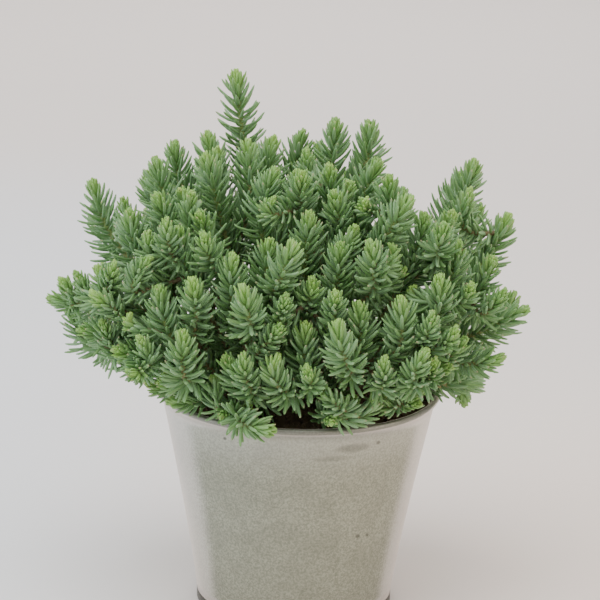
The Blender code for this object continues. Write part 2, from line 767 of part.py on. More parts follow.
def child_start(shoot):
    """The distance along a side shoot at which it is clear of its parent's core."""
    arcs = np.arange(*CLEAR_STARTS)
    parent = shoot.parent.at(np.arange(0.0, shoot.parent.arcs()[-1], 1.0))
    gap = np.linalg.norm(shoot.at(arcs)[:, None] - parent[None], axis=2).min(axis=1)
    clear = np.flatnonzero(gap > 2 * CORE_RADIUS)
    return arcs[clear[0]] if len(clear) else arcs[-1]


def build_core(mesh, shoot, joints, base):
    """Adds a shoot's core, rings of three points turned by a sixth at each; returns its facets."""
    first = 1.0 if base is None else child_start(shoot)
    bare, leafy = ring_stops(shoot, joints, first)
    stops = np.array(bare + leafy)
    total = shoot.arcs()[-1]
    tangents = [unit(v) for v in shoot.at(stops + TANGENT_REACH) - shoot.at(stops - TANGENT_REACH)]
    sides = frame_along(tangents)
    marks = (0.0, LEAF_STOPS[1], shoot.leafy, shoot.leafy + LEAF_STOPS[1])
    radii = np.interp(total - stops, marks, (CORE_TIP_RADIUS, CORE_RADIUS, CORE_RADIUS, STEM_RADIUS))
    if base is None:
        radii[0] = STEM_RADIUS
        side = unit(sides[0] - Z_AXIS * (sides[0] @ Z_AXIS))
        previous = mesh.add_ring(shoot.root - (HOLE_DEPTH - SEAT) * Z_AXIS, Z_AXIS, side, 0.0, STEM_RADIUS)
        mesh.add_face(previous[::-1])
        turn = 0.0
    else:
        radii[0] = min(radii[0], STEM_RADIUS)
        previous = list(mesh.faces.pop(base))
        spoke = mesh.points[previous[0]] - np.mean([mesh.points[i] for i in previous], axis=0)
        turn = math.atan2(spoke @ np.cross(tangents[0], sides[0]), spoke @ sides[0]) - math.pi / 3
    facets = []
    for index, centre in enumerate(shoot.at(stops)):
        turn += math.pi / 3
        ring = mesh.add_ring(centre, tangents[index], sides[index], turn, radii[index])
        for k in range(3):
            after = (k + 1) % 3
            for face in ((previous[k], previous[after], ring[k]), (previous[after], ring[after], ring[k])):
                facets.append((mesh.add_face(face), index > len(bare)))
        previous = ring
    tip = mesh.add_point(shoot.at(total) + tangents[-1])
    for k in range(3):
        mesh.add_face((previous[k], previous[(k + 1) % 3], tip))
    return facets


def leaf_way(shoot, centre, normal, random):
    """The direction and length of a leaf at a facet: steeper and shorter towards the tip."""
    arcs = np.arange(0.0, shoot.arcs()[-1] + 0.5, 1.0)
    arc = arcs[np.argmin(np.linalg.norm(shoot.at(arcs) - centre, axis=1))]
    tangent = unit(shoot.at(arc + TANGENT_REACH) - shoot.at(arc - TANGENT_REACH))
    out = unit(normal - tangent * (normal @ tangent))
    below = shoot.arcs()[-1] - arc
    spread = np.interp(below, SPREAD_STOPS, SPREADS) + SPREAD_JITTER * random.uniform(-1, 1)
    length = np.interp(below, SPREAD_STOPS, LENGTHS) * (1 + LENGTH_JITTER * random.uniform(-1, 1))
    spread = math.radians(spread)
    return unit(math.cos(spread) * tangent + math.sin(spread) * out + LEAF_LIFT * Z_AXIS), length


def raise_leaves(mesh, shoot, facets, room, fences, random):
    """Raises a pointed leaf from each facet that has room for one."""
    for key, leafy in facets:
        if not leafy:
            continue
        centre = mesh.centre(key)
        way, length = leaf_way(shoot, centre, mesh.normal(key), random)
        a, b, c = mesh.faces.pop(key)
        breadth = min(LEAF_BREADTH, max(np.linalg.norm(mesh.points[i] - centre) for i in (a, b, c)))
        others = list(mesh.faces.values())
        apex = mesh.add_point(centre)
        sides = [(a, b, apex), (b, c, apex), (c, a, apex)]
        while length >= SHORTEST_LEAF:
            mesh.points[apex] = centre + length * way
            free = all(
                room.fits(centre + part * length * way, LEAF_TIP + breadth * (1 - part), shoot.number)
                for part in LEAF_SAMPLES
            )
            if free and not mesh.crosses(sides, others, fences):
                break
            length -= LEAF_TRIM
        if length >= SHORTEST_LEAF:
            for face in sides:
                mesh.add_face(face)
        else:
            mesh.points.pop()
            mesh.add_face((a, b, c))


def grow_side(mesh, shoot, child, joints, facets, fences):
    """Grows a side shoot's core from the parent's facet that suits it and crosses nothing."""
    start = shoot.at(child.joint)
    out = unit(child.at(2 * STEM_RADIUS) - start)
    options = sorted(
        (np.linalg.norm(mesh.centre(key) - start - STEM_RADIUS * out) - mesh.normal(key) @ out, key)
        for key, _ in facets
        if key in mesh.faces
    )
    for _, key in options[:FACET_TRIES]:
        trial = mesh.copy()
        last = trial.serial
        own = build_core(trial, child, joints, key)
        old = [face for serial, face in trial.faces.items() if serial <= last]
        new = [face for serial, face in trial.faces.items() if serial > last]
        if not trial.crosses(new, old, fences) and not trial.crosses(new, new):
            return trial, own
    return mesh, None


def grow_sides(mesh, facets, rooted, children, fences):
    """Grows every side shoot of a stem that has room; returns the mesh and each shoot with its facets."""
    grown = [(rooted, facets)]
    for shoot, facets in grown:
        for child in children.get(shoot, ()):
            joints = [grandchild.joint for grandchild in children.get(child, ())]
            mesh, own = grow_side(mesh, shoot, child, joints, facets, fences)
            if own:
                grown.append((child, own))
    return mesh, grown


def make_stems(rooted, joined, pot):
    """Grows all the cores first, then the leaves, each clear of everything made before it."""
    random = np.random.default_rng(SEED)
    room = Room(rooted + joined)
    children = {}
    for shoot in joined:
        children.setdefault(shoot.parent, []).append(shoot)
    meshes = [StemMesh() for _ in rooted]
    facets = [
        build_core(mesh, shoot, [child.joint for child in children.get(shoot, ())], None)
        for mesh, shoot in zip(meshes, rooted)
    ]
    trees = [mesh.tree() for mesh in meshes]
    grown = []
    for i, shoot in enumerate(rooted):
        fences = pot + trees[:i] + trees[i + 1 :]
        meshes[i], own = grow_sides(meshes[i], facets[i], shoot, children, fences)
        grown.append(own)
        trees[i] = meshes[i].tree()
    for i, mesh in enumerate(meshes):
        fences = pot + trees[:i] + trees[i + 1 :]
        for shoot, facets in grown[i]:
            kept = [facet for facet in facets if facet[0] in mesh.faces]
            raise_leaves(mesh, shoot, kept, room, fences, random)
        trees[i] = mesh.tree()
        stem = add_object(f"stem_{i + 1:02d}", mesh.points, list(mesh.faces.values()))
        paint(stem, LEAF_GREEN, 0.0, LEAF_ROUGHNESS)


def tree_of(thing):
    points = [vertex.co / METRE for vertex in thing.data.vertices]
    return BVHTree.FromPolygons(points, [tuple(polygon.vertices) for polygon in thing.data.polygons])


def make_part():
    for thing in list(bpy.data.objects):
        bpy.data.objects.remove(thing)
    rooted, joined = grow_plant()
    wall = make_pot_wall()
    make_pot_base()
    make_soil([shoot.root for shoot in rooted])
    make_stems(rooted, joined, [tree_of(wall)])


make_part()
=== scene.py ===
"""A sedum in a zinc pot, dressed for its picture: fine leaves, rolled metal, crumbly soil and soft light.

Lengths are in millimetres until a mesh is made, and the meshes are in metres.
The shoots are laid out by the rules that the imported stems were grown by, so that each
fine stem grows along the same lines as the stem that it replaces.
"""

import json
import math

import bpy
import numpy as np
from mathutils import Matrix, Vector
from mathutils.kdtree import KDTree

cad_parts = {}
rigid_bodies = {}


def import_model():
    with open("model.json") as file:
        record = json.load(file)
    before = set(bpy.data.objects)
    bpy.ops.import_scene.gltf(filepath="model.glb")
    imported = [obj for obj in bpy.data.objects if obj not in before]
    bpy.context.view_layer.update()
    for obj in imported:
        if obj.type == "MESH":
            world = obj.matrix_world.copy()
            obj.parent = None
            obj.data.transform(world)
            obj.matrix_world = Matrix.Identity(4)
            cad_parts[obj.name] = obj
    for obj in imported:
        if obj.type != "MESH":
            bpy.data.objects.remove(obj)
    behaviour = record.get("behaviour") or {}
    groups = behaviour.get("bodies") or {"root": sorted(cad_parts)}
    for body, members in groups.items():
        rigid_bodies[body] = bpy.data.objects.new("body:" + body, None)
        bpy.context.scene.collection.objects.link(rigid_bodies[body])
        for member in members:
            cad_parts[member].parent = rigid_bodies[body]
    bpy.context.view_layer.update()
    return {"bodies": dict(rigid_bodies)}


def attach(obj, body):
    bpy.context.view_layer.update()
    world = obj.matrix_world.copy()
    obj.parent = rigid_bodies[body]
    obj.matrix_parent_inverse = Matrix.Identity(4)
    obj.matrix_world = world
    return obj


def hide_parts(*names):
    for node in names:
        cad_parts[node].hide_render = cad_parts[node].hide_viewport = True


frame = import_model()
BODY = next(iter(frame["bodies"]))

METRE = 0.001
SEED = 5
GOLDEN_ANGLE = math.pi * (3 - math.sqrt(5))
TINY = 1e-6

# The pot
RIM_RADIUS = 65.0
POT_HEIGHT = 103.0
BEAD_RADIUS = 1.5
WALL_TOP_RADIUS = 63.0
WALL_FOOT_RADIUS = 45.6
FOOT_HEIGHT = 4.6
FOOT_RING = 1.6
FOOT_SOFTNESS = 0.4
SHEET = 0.8
FLARE = 1.15
SEAT = 0.3
POT_SIDES = 240
BEAD_STEPS = 14
BEAD_TURN = (-80, 185)
WALL_ROWS = 20

BEAD_CENTRE = (RIM_RADIUS - BEAD_RADIUS, POT_HEIGHT - BEAD_RADIUS)
WALL_BOTTOM = FOOT_HEIGHT + SEAT
WALL_TOP = POT_HEIGHT - 2 * BEAD_RADIUS

# The soil
SOIL_EDGE = 97.0
SOIL_MIDDLE = 102.0
SOIL_SHOULDER = 30.0
SOIL_SHOULDER_HEIGHT = 100.5

# The direction that the plant was measured from: across and up in a plane through the rim's centre
LOOK_DOWN = math.radians(15.0)
LOOK_ROLL = math.radians(1.5)
EYE_DISTANCE = 1009.0
EYE_ACROSS = 0.5
EYE_UP = 39.4
LENS = 131.5
SENSOR = 36.0

# The mass of shoots, as half sizes around its heart
HEART = np.array((0.0, 0.0, POT_HEIGHT + 30.0))
MASS_WIDTH = 112.0
MASS_FRONT = 64.0
MASS_BACK = 82.0
MASS_RISE = 84.0
MASS_DROP = 45.0
MASS_ROUNDNESS = (3.0, 2.0, 2.2)
NEAREST = 130.0
FARTHEST = -60.0
SIGHT_STEP = 1.0
FRONT_HALF = 1.0

# The layout of the shoots
STEMS = 54
STEM_RADIUS = 1.5
CORE_RADIUS = 2.0
CORE_ROOM = 1.0
ROOT_CIRCLE = 50.0
ROOT_SPACING = 9.0
ROOT_ROUNDS = 200
ROOT_EASE = 0.3
ROOT_RISE = 2.0
ROOT_LEAN = 0.006
FAN_DEPTH = 60.0
START_PULL = 0.35
TIP_PULL = 0.4
FRONT_LEAN = 0.2
SIDE_LEAN = 0.3
SIDE_UPRIGHT = 0.8
FILL_OUTWARD = 0.4
RING_UPRIGHT = 0.8
MEASURED_FREEDOM = 0.35
AXIS_POINTS = 13
HELD_POINTS = 2
MOST_JOINED = 2
LEAF_STOPS = (3.5, 8.0, 13.5, 20.0, 27.5, 36.0, 45.0, 54.0)
TANGENT_REACH = 1.5
FULL_REACH = 9.5
SMALL_REACH = 5.5
BARE_REACH = 3.0
EASE_ROUNDS = 60
EASE_STEP = 1.5
EASE_EACH_OTHER = 0.25
EASE_FROM_STILL = 0.4
EASE_SMOOTHING = 0.125
EASE_HOMEWARD = 0.12
EASE_UPRIGHT = 0.22
UPRIGHT_REACH = 38.0
EASE_ROOTED_POINTS = 3.0
EASE_BESIDE_PARENT = 0.6
SADDLE_IN = 57.0
SADDLE_OUT = 76.0
SADDLE_RISE = 5.0
OVERHANG = 8.0
LOWEST_FORK = 7.0
HIGHEST_FORK = 0.55
FORK_BELOW_LEAVES = 5.0
FORK_OUTWARD = 0.9
FORK_STEP = 1.5
FORK_RISE = 7.0
FORK_RUN = 13.0
FORK_LOW_COST = 3.0
FORK_NEAR_COST = 4.0

# Shoots as measured: tip across and up, foot across and up, rings of leaves
SHOOTS = (
    (-29, 144, -26, 111, 6), (-41, 116, -39, 106, 4), (-53, 112, -48, 88, 5), (-43, 106, -36, 78, 6),
    (-23, 112, -19, 69, 6), (-12, 114, -16, 101, 4), (-11, 99, -17, 83, 5), (5, 116, 2, 92, 5),
    (17, 122, 16, 101, 5), (28, 121, 24, 97, 5), (13, 100, 18, 88, 5), (0, 96, 0, 74, 5),
    (37, 103, 32, 92, 5), (41, 96, 43, 65, 6), (52, 84, 48, 74, 5), (-95, 94, -88, 59, 6),
    (-78, 80, -76, 53, 6), (-66, 104, -62, 85, 5), (-69, 85, -66, 69, 5), (-56, 72, -53, 55, 5),
    (-49, 76, -47, 60, 4), (-41, 67, -38, 51, 5), (-115, 40, -92, 44, 6), (-93, 54, -86, 42, 5),
    (-101, 25, -64, 21, 6), (-85, 16, -64, 18, 5), (-78, 9, -57, 16, 5), (-28, 60, -28, 44, 5),
    (-15, 66, -17, 53, 5), (-6, 65, -8, 39, 5), (5, 79, 4, 58, 5), (12, 88, 12, 69, 5),
    (18, 65, 18, 39, 5), (31, 66, 30, 39, 6), (3, 52, 2, 39, 4), (3, 28, 3, 14, 4),
    (27, 38, 28, 25, 4), (47, 42, 49, 25, 5), (-64, 45, -62, 28, 5), (-46, 51, -44, 25, 6),
    (-52, 27, -52, 14, 5), (-27, 47, -22, 18, 6), (20, 30, 27, 7, 6), (-34, 13, -23, -7, 5),
    (-7, 15, -9, 3, 4), (58, 78, 57, 62, 5), (65, 73, 64, 58, 5), (81, 103, 72, 65, 6),
    (97, 78, 88, 57, 5), (72, 66, 70, 51, 5), (88, 58, 82, 46, 6), (65, 53, 64, 35, 5),
    (105, 35, 86, 25, 5), (94, 13, 74, 7, 5), (70, 8, 56, 16, 4),
)

# Shoots that droop over the rim, in the same terms
RIM_SHOOTS = (
    (-60, -11, -43, -7, 4), (-36, -17, -27, -9, 3), (-12, -18, 6, -11, 4), (15, -18, 18, -9, 3),
    (56, -9, 47, 2, 3), (76, -9, 63, 2, 4), (-69, 2, -53, 9, 4),
)

# Small side shoots: tip across and up, and how far they lean to the right
SIDE_SHOOTS = (
    (-36, 109, 0.1), (-81, 85, -0.2), (-67, 57, 0.5), (-57, 87, -0.1), (-58, 74, -0.2), (-48, 84, 0.2),
    (-110, 49, -0.6), (-103, 52, -0.4), (-86, 56, 0.2), (-93, 45, -0.8), (-88, 32, -0.3), (-77, 33, 0.1),
    (-6, 45, 0.2), (23, 69, 0.2), (38, 66, 0.1), (46, 55, 0.7), (14, 41, -0.1), (16, 34, 0.1),
    (54, 47, 0.3), (50, 35, 0.2), (-11, 31, 0.5), (-23, 16, -0.2), (1, 11, 0.0), (-16, 7, 0.0),
    (14, 3, -0.8), (35, 0, 0.2), (42, 15, 0.1), (50, 12, 0.2), (58, 17, 0.3), (-22, -10, -0.1),
    (70, 80, 0.2), (77, 48, 0.4), (93, 46, 0.5), (19, 91, 0.3), (32, 86, 0.7), (-4, 99, 0.0),
    (-10, 87, 0.4), (-65, 71, 0.1), (60, 36, 0.3), (69, 29, 0.5), (76, 19, 0.7), (63, 16, 0.4),
    (-74, 22, -0.5), (-63, 8, -0.3), (-44, 3, -0.1), (42, -3, 0.2), (28, -6, 0.1),
)

# Shoots that fill the rest of the mass evenly by a rule
FILL_TRIES = 420
FILL_STEP = 0.5
FILL_SPACING = 22.0
FILL_SIDE_SPACING = 17.5
FILL_LOWEST = -0.35
FILL_RINGS = 6
OUTLINE_REACH = 10.0
OUTLINE_BESIDE = 15.0
OUTLINE_MARGIN = 1.0
RIM_RING_TRIES = 72
RIM_RING_RADIUS = 64.0
RIM_RING_RISE = 17.0
RIM_RING_SPACING = 17.0
RIM_RING_RINGS = 4
SIDE_RINGS = 3


def unit(vectors):
    return vectors / np.linalg.norm(vectors, axis=-1, keepdims=True)


X_AXIS, Y_AXIS, Z_AXIS = np.eye(3)
LOOK = np.array((0.0, math.cos(LOOK_DOWN), -math.sin(LOOK_DOWN)))
RISE_LEVEL = np.array((0.0, math.sin(LOOK_DOWN), math.cos(LOOK_DOWN)))
ACROSS = math.cos(LOOK_ROLL) * X_AXIS + math.sin(LOOK_ROLL) * RISE_LEVEL
RISE = math.cos(LOOK_ROLL) * RISE_LEVEL - math.sin(LOOK_ROLL) * X_AXIS
RIM_CENTRE = POT_HEIGHT * Z_AXIS
EYE = RIM_CENTRE - EYE_DISTANCE * LOOK + EYE_ACROSS * ACROSS + EYE_UP * RISE


def wall_radius(height):
    part = np.clip((height - WALL_BOTTOM) / (WALL_TOP - WALL_BOTTOM), 0.0, 1.0)
    return WALL_FOOT_RADIUS + (WALL_TOP_RADIUS - WALL_FOOT_RADIUS) * part**FLARE


def soil_height(radius):
    edge = wall_radius(SOIL_EDGE) - SHEET - SEAT
    return np.interp(radius, (0.0, SOIL_SHOULDER, edge), (SOIL_MIDDLE, SOIL_SHOULDER_HEIGHT, SOIL_EDGE))


# Where the shoots go

def mass_value(places):
    """How far places lie out in the mass of shoots: below 1 inside it."""
    offset = places - HEART
    depth = np.where(offset[..., 1] < 0, MASS_FRONT, MASS_BACK)
    rise = np.where(offset[..., 2] < 0, MASS_DROP, MASS_RISE)
    halves = (MASS_WIDTH, depth, rise)
    return sum((np.abs(offset[..., i]) / halves[i]) ** MASS_ROUNDNESS[i] for i in range(3))


def sight_line(across, up):
    flat = RIM_CENTRE + across * ACROSS + up * RISE
    nears = np.arange(NEAREST, FARTHEST, -SIGHT_STEP)
    return flat + nears[:, None] * unit(EYE - flat)


def on_the_mass(across, up):
    line = sight_line(across, up)
    values = mass_value(line)
    inside = np.flatnonzero(values < 1)
    return line[inside[0] if len(inside) else np.argmin(values)]


def over_the_rim(across, up):
    line = sight_line(across, up)
    line = line[line[:, 1] < FRONT_HALF]
    return line[np.argmin(np.abs(np.hypot(line[:, 0], line[:, 1]) - RIM_RADIUS - OVERHANG))]


class Shoot:
    """One leafy shoot: its tip, the way the tip points, its rings of leaves, and later its axis."""

    def __init__(self, tip, way, rings, freedom):
        self.tip = tip
        self.way = unit(way)
        self.rings = rings
        self.freedom = freedom
        self.parent = None
        self.root = None
        self.points = None

    @property
    def leafy(self):
        return LEAF_STOPS[self.rings - 1] + LEAF_STOPS[0]

    def lay_axis(self, start, way):
        """A smooth curve from its start to its tip."""
        span = np.linalg.norm(self.tip - start)
        first = start + START_PULL * span * unit(way)
        second = self.tip - TIP_PULL * span * self.way
        t = np.linspace(0, 1, AXIS_POINTS)[:, None]
        s = 1 - t
        self.points = s**3 * start + 3 * s**2 * t * first + 3 * s * t**2 * second + t**3 * self.tip

    def arcs(self):
        steps = np.linalg.norm(np.diff(self.points, axis=0), axis=1)
        return np.concatenate(((0.0,), np.cumsum(steps)))

    def at(self, arc):
        """Places along the axis at distances from its start."""
        arcs = self.arcs()
        arc = np.clip(arc, 0, arcs[-1])
        return np.stack([np.interp(arc, arcs, self.points[:, i]) for i in range(3)], axis=-1)

    def below_tip(self):
        arcs = self.arcs()
        return arcs[-1] - arcs

    def reaches(self):
        room = FULL_REACH if self.rings > SIDE_RINGS else SMALL_REACH
        return np.where(self.below_tip() < self.leafy, room, BARE_REACH)


def measured_shoots():
    shoots = []
    for across, up, foot_across, foot_up, rings in SHOOTS:
        tip = on_the_mass(across, up)
        run = np.array((across - foot_across, 0.0, (up - foot_up) / math.cos(LOOK_DOWN)))
        lean = FRONT_LEAN * np.linalg.norm(run) * tip[1] / MASS_FRONT
        shoots.append(Shoot(tip, run + lean * Y_AXIS, rings + 1, MEASURED_FREEDOM))
    for across, up, foot_across, foot_up, rings in RIM_SHOOTS:
        tip = over_the_rim(across, up)
        run = np.array((across - foot_across, 0.0, up - foot_up))
        lean = np.linalg.norm(run) * tip[1] / RIM_RADIUS
        shoots.append(Shoot(tip, run + lean * Y_AXIS, rings, MEASURED_FREEDOM))
    return shoots


def measured_side_shoots():
    shoots = []
    for across, up, lean in SIDE_SHOOTS:
        tip = on_the_mass(across, up)
        way = np.array((lean, SIDE_LEAN * tip[1] / MASS_FRONT, SIDE_UPRIGHT))
        shoots.append(Shoot(tip, way, SIDE_RINGS, MEASURED_FREEDOM))
    return shoots


def fill_places():
    """Places spread evenly over the mass by the golden angle, from the top down."""
    for step in range(FILL_TRIES):
        height = 1 - (1 - FILL_LOWEST) * (step + 0.5) / FILL_TRIES
        around = math.sqrt(1 - height * height)
        turn = GOLDEN_ANGLE * step
        way = np.array((around * math.cos(turn), around * math.sin(turn), height))
        line = HEART + np.arange(0.0, 2 * MASS_WIDTH, FILL_STEP)[:, None] * way
        yield line[np.argmin(np.abs(mass_value(line) - 1))], way


def seen_at(places):
    """Where places are seen from the measuring eye, across and up in the plane of the measures."""
    rays = unit(places - EYE)
    hits = EYE + rays * (((RIM_CENTRE - EYE) @ LOOK) / (rays @ LOOK))[..., None] - RIM_CENTRE
    return hits @ ACROSS, hits @ RISE


def within_outline(place):
    """Whether a place shows neither above nor beside the measured shoots."""
    across, up = seen_at(place)
    below = any(abs(tip[0] - across) < OUTLINE_REACH and tip[1] > up + OUTLINE_MARGIN for tip in SHOOTS)
    beside = any(
        abs(tip[1] - up) < OUTLINE_BESIDE and tip[0] * np.sign(across) > abs(across) + OUTLINE_MARGIN
        for tip in SHOOTS
    )
    return below and beside


def add_fill(shoots, spacing, rings):
    for place, way in fill_places():
        if within_outline(place) and min(np.linalg.norm(place - other.tip) for other in shoots) > spacing:
            shoots.append(Shoot(place, FILL_OUTWARD * way + SIDE_UPRIGHT * Z_AXIS, rings, 1.0))


def add_rim_ring(shoots):
    """Low shoots that lean out all around just above the rim, wherever there is room."""
    for step in range(RIM_RING_TRIES):
        turn = 2 * math.pi * step / RIM_RING_TRIES
        way = np.array((math.cos(turn), math.sin(turn), 0.0))
        tip = RIM_CENTRE + RIM_RING_RADIUS * way + RIM_RING_RISE * Z_AXIS
        if min(np.linalg.norm(tip - other.tip) for other in shoots) > RIM_RING_SPACING:
            shoots.append(Shoot(tip, way + RING_UPRIGHT * Z_AXIS, RIM_RING_RINGS, 1.0))


def clear_of_pot(places, room):
    """Moves places off the bead, the wall and the soil by at least their room."""
    places = places.copy()
    radius = np.maximum(np.hypot(places[..., 0], places[..., 1]), TINY)
    height = places[..., 2]
    from_bead = np.stack((radius - BEAD_CENTRE[0], height - BEAD_CENTRE[1]), axis=-1)
    distance = np.maximum(np.linalg.norm(from_bead, axis=-1), TINY)
    short = np.clip(BEAD_RADIUS + room - distance, 0, None)
    new_radius = radius + short * from_bead[..., 0] / distance
    height = height + short * from_bead[..., 1] / distance
    wall = wall_radius(height)
    low = height < BEAD_CENTRE[1]
    outside = low & (new_radius > wall - SHEET / 2)
    inside = low & ~outside
    new_radius = np.where(outside, np.maximum(new_radius, wall + room), new_radius)
    new_radius = np.where(inside, np.minimum(new_radius, wall - SHEET - room), new_radius)
    height = np.where(inside, np.maximum(height, soil_height(new_radius) + room), height)
    places[..., :2] *= (new_radius / radius)[..., None]
    places[..., 2] = height
    return places


def lift_over_rim(places):
    """Lifts an axis that crosses the rim well clear of it."""
    radius = np.hypot(places[..., 0], places[..., 1])
    over = (radius > SADDLE_IN) & (radius < SADDLE_OUT)
    places[..., 2] = np.where(over, np.maximum(places[..., 2], POT_HEIGHT + SADDLE_RISE), places[..., 2])
    return places


def crowd_push(places, reach, others, other_reach, apart):
    """The push on each place from the others that are within reach; apart says which pairs count."""
    squares = (places**2).sum(axis=1)[:, None] + (others**2).sum(axis=1)[None]
    distance = np.sqrt(np.maximum(squares - 2 * places @ others.T, 0.0)) + TINY
    weight = np.clip(reach[:, None] + other_reach[None] - distance, 0, None) * apart / distance
    return places * weight.sum(axis=1)[:, None] - weight @ others


def ease_apart(moving, still):
    """Bends the axes of the moving shoots until their leaves have room, holding their roots."""
    points = np.array([shoot.points for shoot in moving])
    home = points[:, -1].copy()
    count = len(moving)
    number = np.repeat(np.arange(count), AXIS_POINTS)
    apart = (number[:, None] != number[None]).astype(float)
    loose = np.minimum(np.arange(AXIS_POINTS) / EASE_ROOTED_POINTS, 1.0)[None, :, None]
    freedom = np.array([shoot.freedom for shoot in moving])[:, None, None]
    if still:
        others = np.concatenate([shoot.points for shoot in still])
        other_reach = np.concatenate([shoot.reaches() for shoot in still])
        place_of = {shoot: place for place, shoot in enumerate(still)}
        other_apart = np.ones((count, AXIS_POINTS, len(still), AXIS_POINTS))
        early = np.arange(AXIS_POINTS) < EASE_BESIDE_PARENT * AXIS_POINTS
        for index, shoot in enumerate(moving):
            other_apart[index, early, place_of[shoot.parent]] = 0.0
        other_apart = other_apart.reshape(count * AXIS_POINTS, -1)
    ways = np.array([shoot.way for shoot in moving])[:, None]
    stand = np.clip((home[:, None, 2:] - POT_HEIGHT) / UPRIGHT_REACH, 0, 1)
    hold = EASE_UPRIGHT * stand * np.clip(ways[..., 2:], 0, 1)
    for _ in range(EASE_ROUNDS):
        reach = np.concatenate([shoot.reaches() for shoot in moving])
        below = np.array([shoot.below_tip() for shoot in moving])[..., None]
        flat = points.reshape(-1, 3)
        push = EASE_EACH_OTHER * crowd_push(flat, reach, flat, reach, apart)
        if still:
            push += EASE_FROM_STILL * crowd_push(flat, reach, others, other_reach, other_apart)
        size = np.linalg.norm(push, axis=1, keepdims=True) + TINY
        push = (push * np.minimum(1.0, EASE_STEP / size)).reshape(points.shape)
        along = (push @ LOOK)[..., None] * LOOK
        push = along + freedom * (push - along)
        points += loose * push
        bend = points[:, :-2] + points[:, 2:] - 2 * points[:, 1:-1]
        points[:, 1:-1] += EASE_SMOOTHING * loose[:, 1:-1] * bend
        points[:, -1] += EASE_HOMEWARD * (home - points[:, -1])
        straight = points[:, -1:] - below * ways
        points += hold * np.clip(1 - below / UPRIGHT_REACH, 0, 1) * loose * (straight - points)
        free = points[:, HELD_POINTS:]
        points[:, HELD_POINTS:] = lift_over_rim(clear_of_pot(free, CORE_RADIUS + CORE_ROOM))
        for shoot, line in zip(moving, points):
            shoot.points = line
    for shoot in moving:
        shoot.tip = shoot.points[-1]


def pair_up(shoots):
    """Joins the closest shoots in pairs until few enough stems are left; returns the joined ones."""
    pairs = sorted(
        (np.linalg.norm(a.tip - b.tip), i, j)
        for i, a in enumerate(shoots)
        for j, b in enumerate(shoots)
        if i < j
    )
    carried, joined = {}, []
    for _, i, j in pairs:
        if len(shoots) - len(joined) <= STEMS:
            break
        if shoots[i].parent or shoots[j].parent or j in carried or carried.get(i, 0) >= MOST_JOINED:
            continue
        carried[i] = carried.get(i, 0) + 1
        shoots[j].parent = shoots[i]
        joined.append(shoots[j])
    return joined


def root_places(shoots):
    """Roots spread over the soil in the order that the shoots lean out, then eased apart."""
    lean = [math.atan2(math.hypot(s.tip[0], s.tip[1]), s.tip[2] - POT_HEIGHT + FAN_DEPTH) for s in shoots]
    rank = np.argsort(np.argsort(lean))
    turn = np.array([math.atan2(s.tip[1], s.tip[0]) for s in shoots])
    radius = ROOT_CIRCLE * np.sqrt((rank + 0.5) / len(shoots))
    flat = np.stack((radius * np.cos(turn), radius * np.sin(turn)), axis=1)
    for _ in range(ROOT_ROUNDS):
        gap = flat[:, None] - flat[None]
        distance = np.linalg.norm(gap, axis=2) + TINY
        short = np.clip(ROOT_SPACING - distance, 0, None)
        np.fill_diagonal(short, 0)
        flat += ROOT_EASE * (gap * (short / distance)[..., None]).sum(axis=1)
        size = np.linalg.norm(flat, axis=1, keepdims=True)
        flat *= np.minimum(1.0, ROOT_CIRCLE / size)
    return [np.array((x, y, soil_height(math.hypot(x, y)))) for x, y in flat]


def junction(shoot, arc):
    """Where a side shoot leaves its parent: the place and a way up and out of it."""
    place = shoot.parent.at(arc)
    along = unit(shoot.parent.at(arc + TANGENT_REACH) - shoot.parent.at(arc - TANGENT_REACH))
    return place, along + FORK_OUTWARD * unit(shoot.tip - place)


def nearest_arc(shoot, mains):
    """The best place on a main shoot to grow a side shoot from: near, and lower than its tip."""
    best = None
    for main in mains:
        arcs = np.arange(LOWEST_FORK, main.arcs()[-1] - LEAF_STOPS[1], FORK_STEP)
        places = main.at(arcs)
        distance = np.linalg.norm(places - shoot.tip, axis=1)
        cost = distance + FORK_LOW_COST * np.clip(places[:, 2] + FORK_RISE - shoot.tip[2], 0, None)
        cost += FORK_NEAR_COST * np.clip(FORK_RUN - distance, 0, None)
        pick = np.argmin(cost)
        if best is None or cost[pick] < best[0]:
            best = (cost[pick], main, arcs[pick])
    return best[1:]


def grow_plant():
    mains = measured_shoots()
    sides = measured_side_shoots()
    every = mains + sides
    add_rim_ring(every)
    add_fill(every, FILL_SPACING, FILL_RINGS)
    mains += every[len(mains) + len(sides):]
    count = len(every)
    add_fill(every, FILL_SIDE_SPACING, SIDE_RINGS)
    sides += every[count:]

    joined = pair_up(mains)
    rooted = [shoot for shoot in mains if shoot.parent is None]
    for shoot, root in zip(rooted, root_places(rooted)):
        shoot.root = root
        shoot.lay_axis(root + ROOT_RISE * Z_AXIS, Z_AXIS + ROOT_LEAN * (shoot.tip - root) * (1, 1, 0))
    ease_apart(rooted, [])
    for shoot in joined:
        length = shoot.parent.arcs()[-1]
        arc = max(LOWEST_FORK, min(length - shoot.parent.leafy - FORK_BELOW_LEAVES, HIGHEST_FORK * length))
        shoot.lay_axis(*junction(shoot, arc))
    ease_apart(joined, rooted)
    for shoot in sides:
        shoot.parent, arc = nearest_arc(shoot, mains)
        shoot.lay_axis(*junction(shoot, arc))
    ease_apart(sides, mains)
    return rooted, joined + sides


# Fine meshes

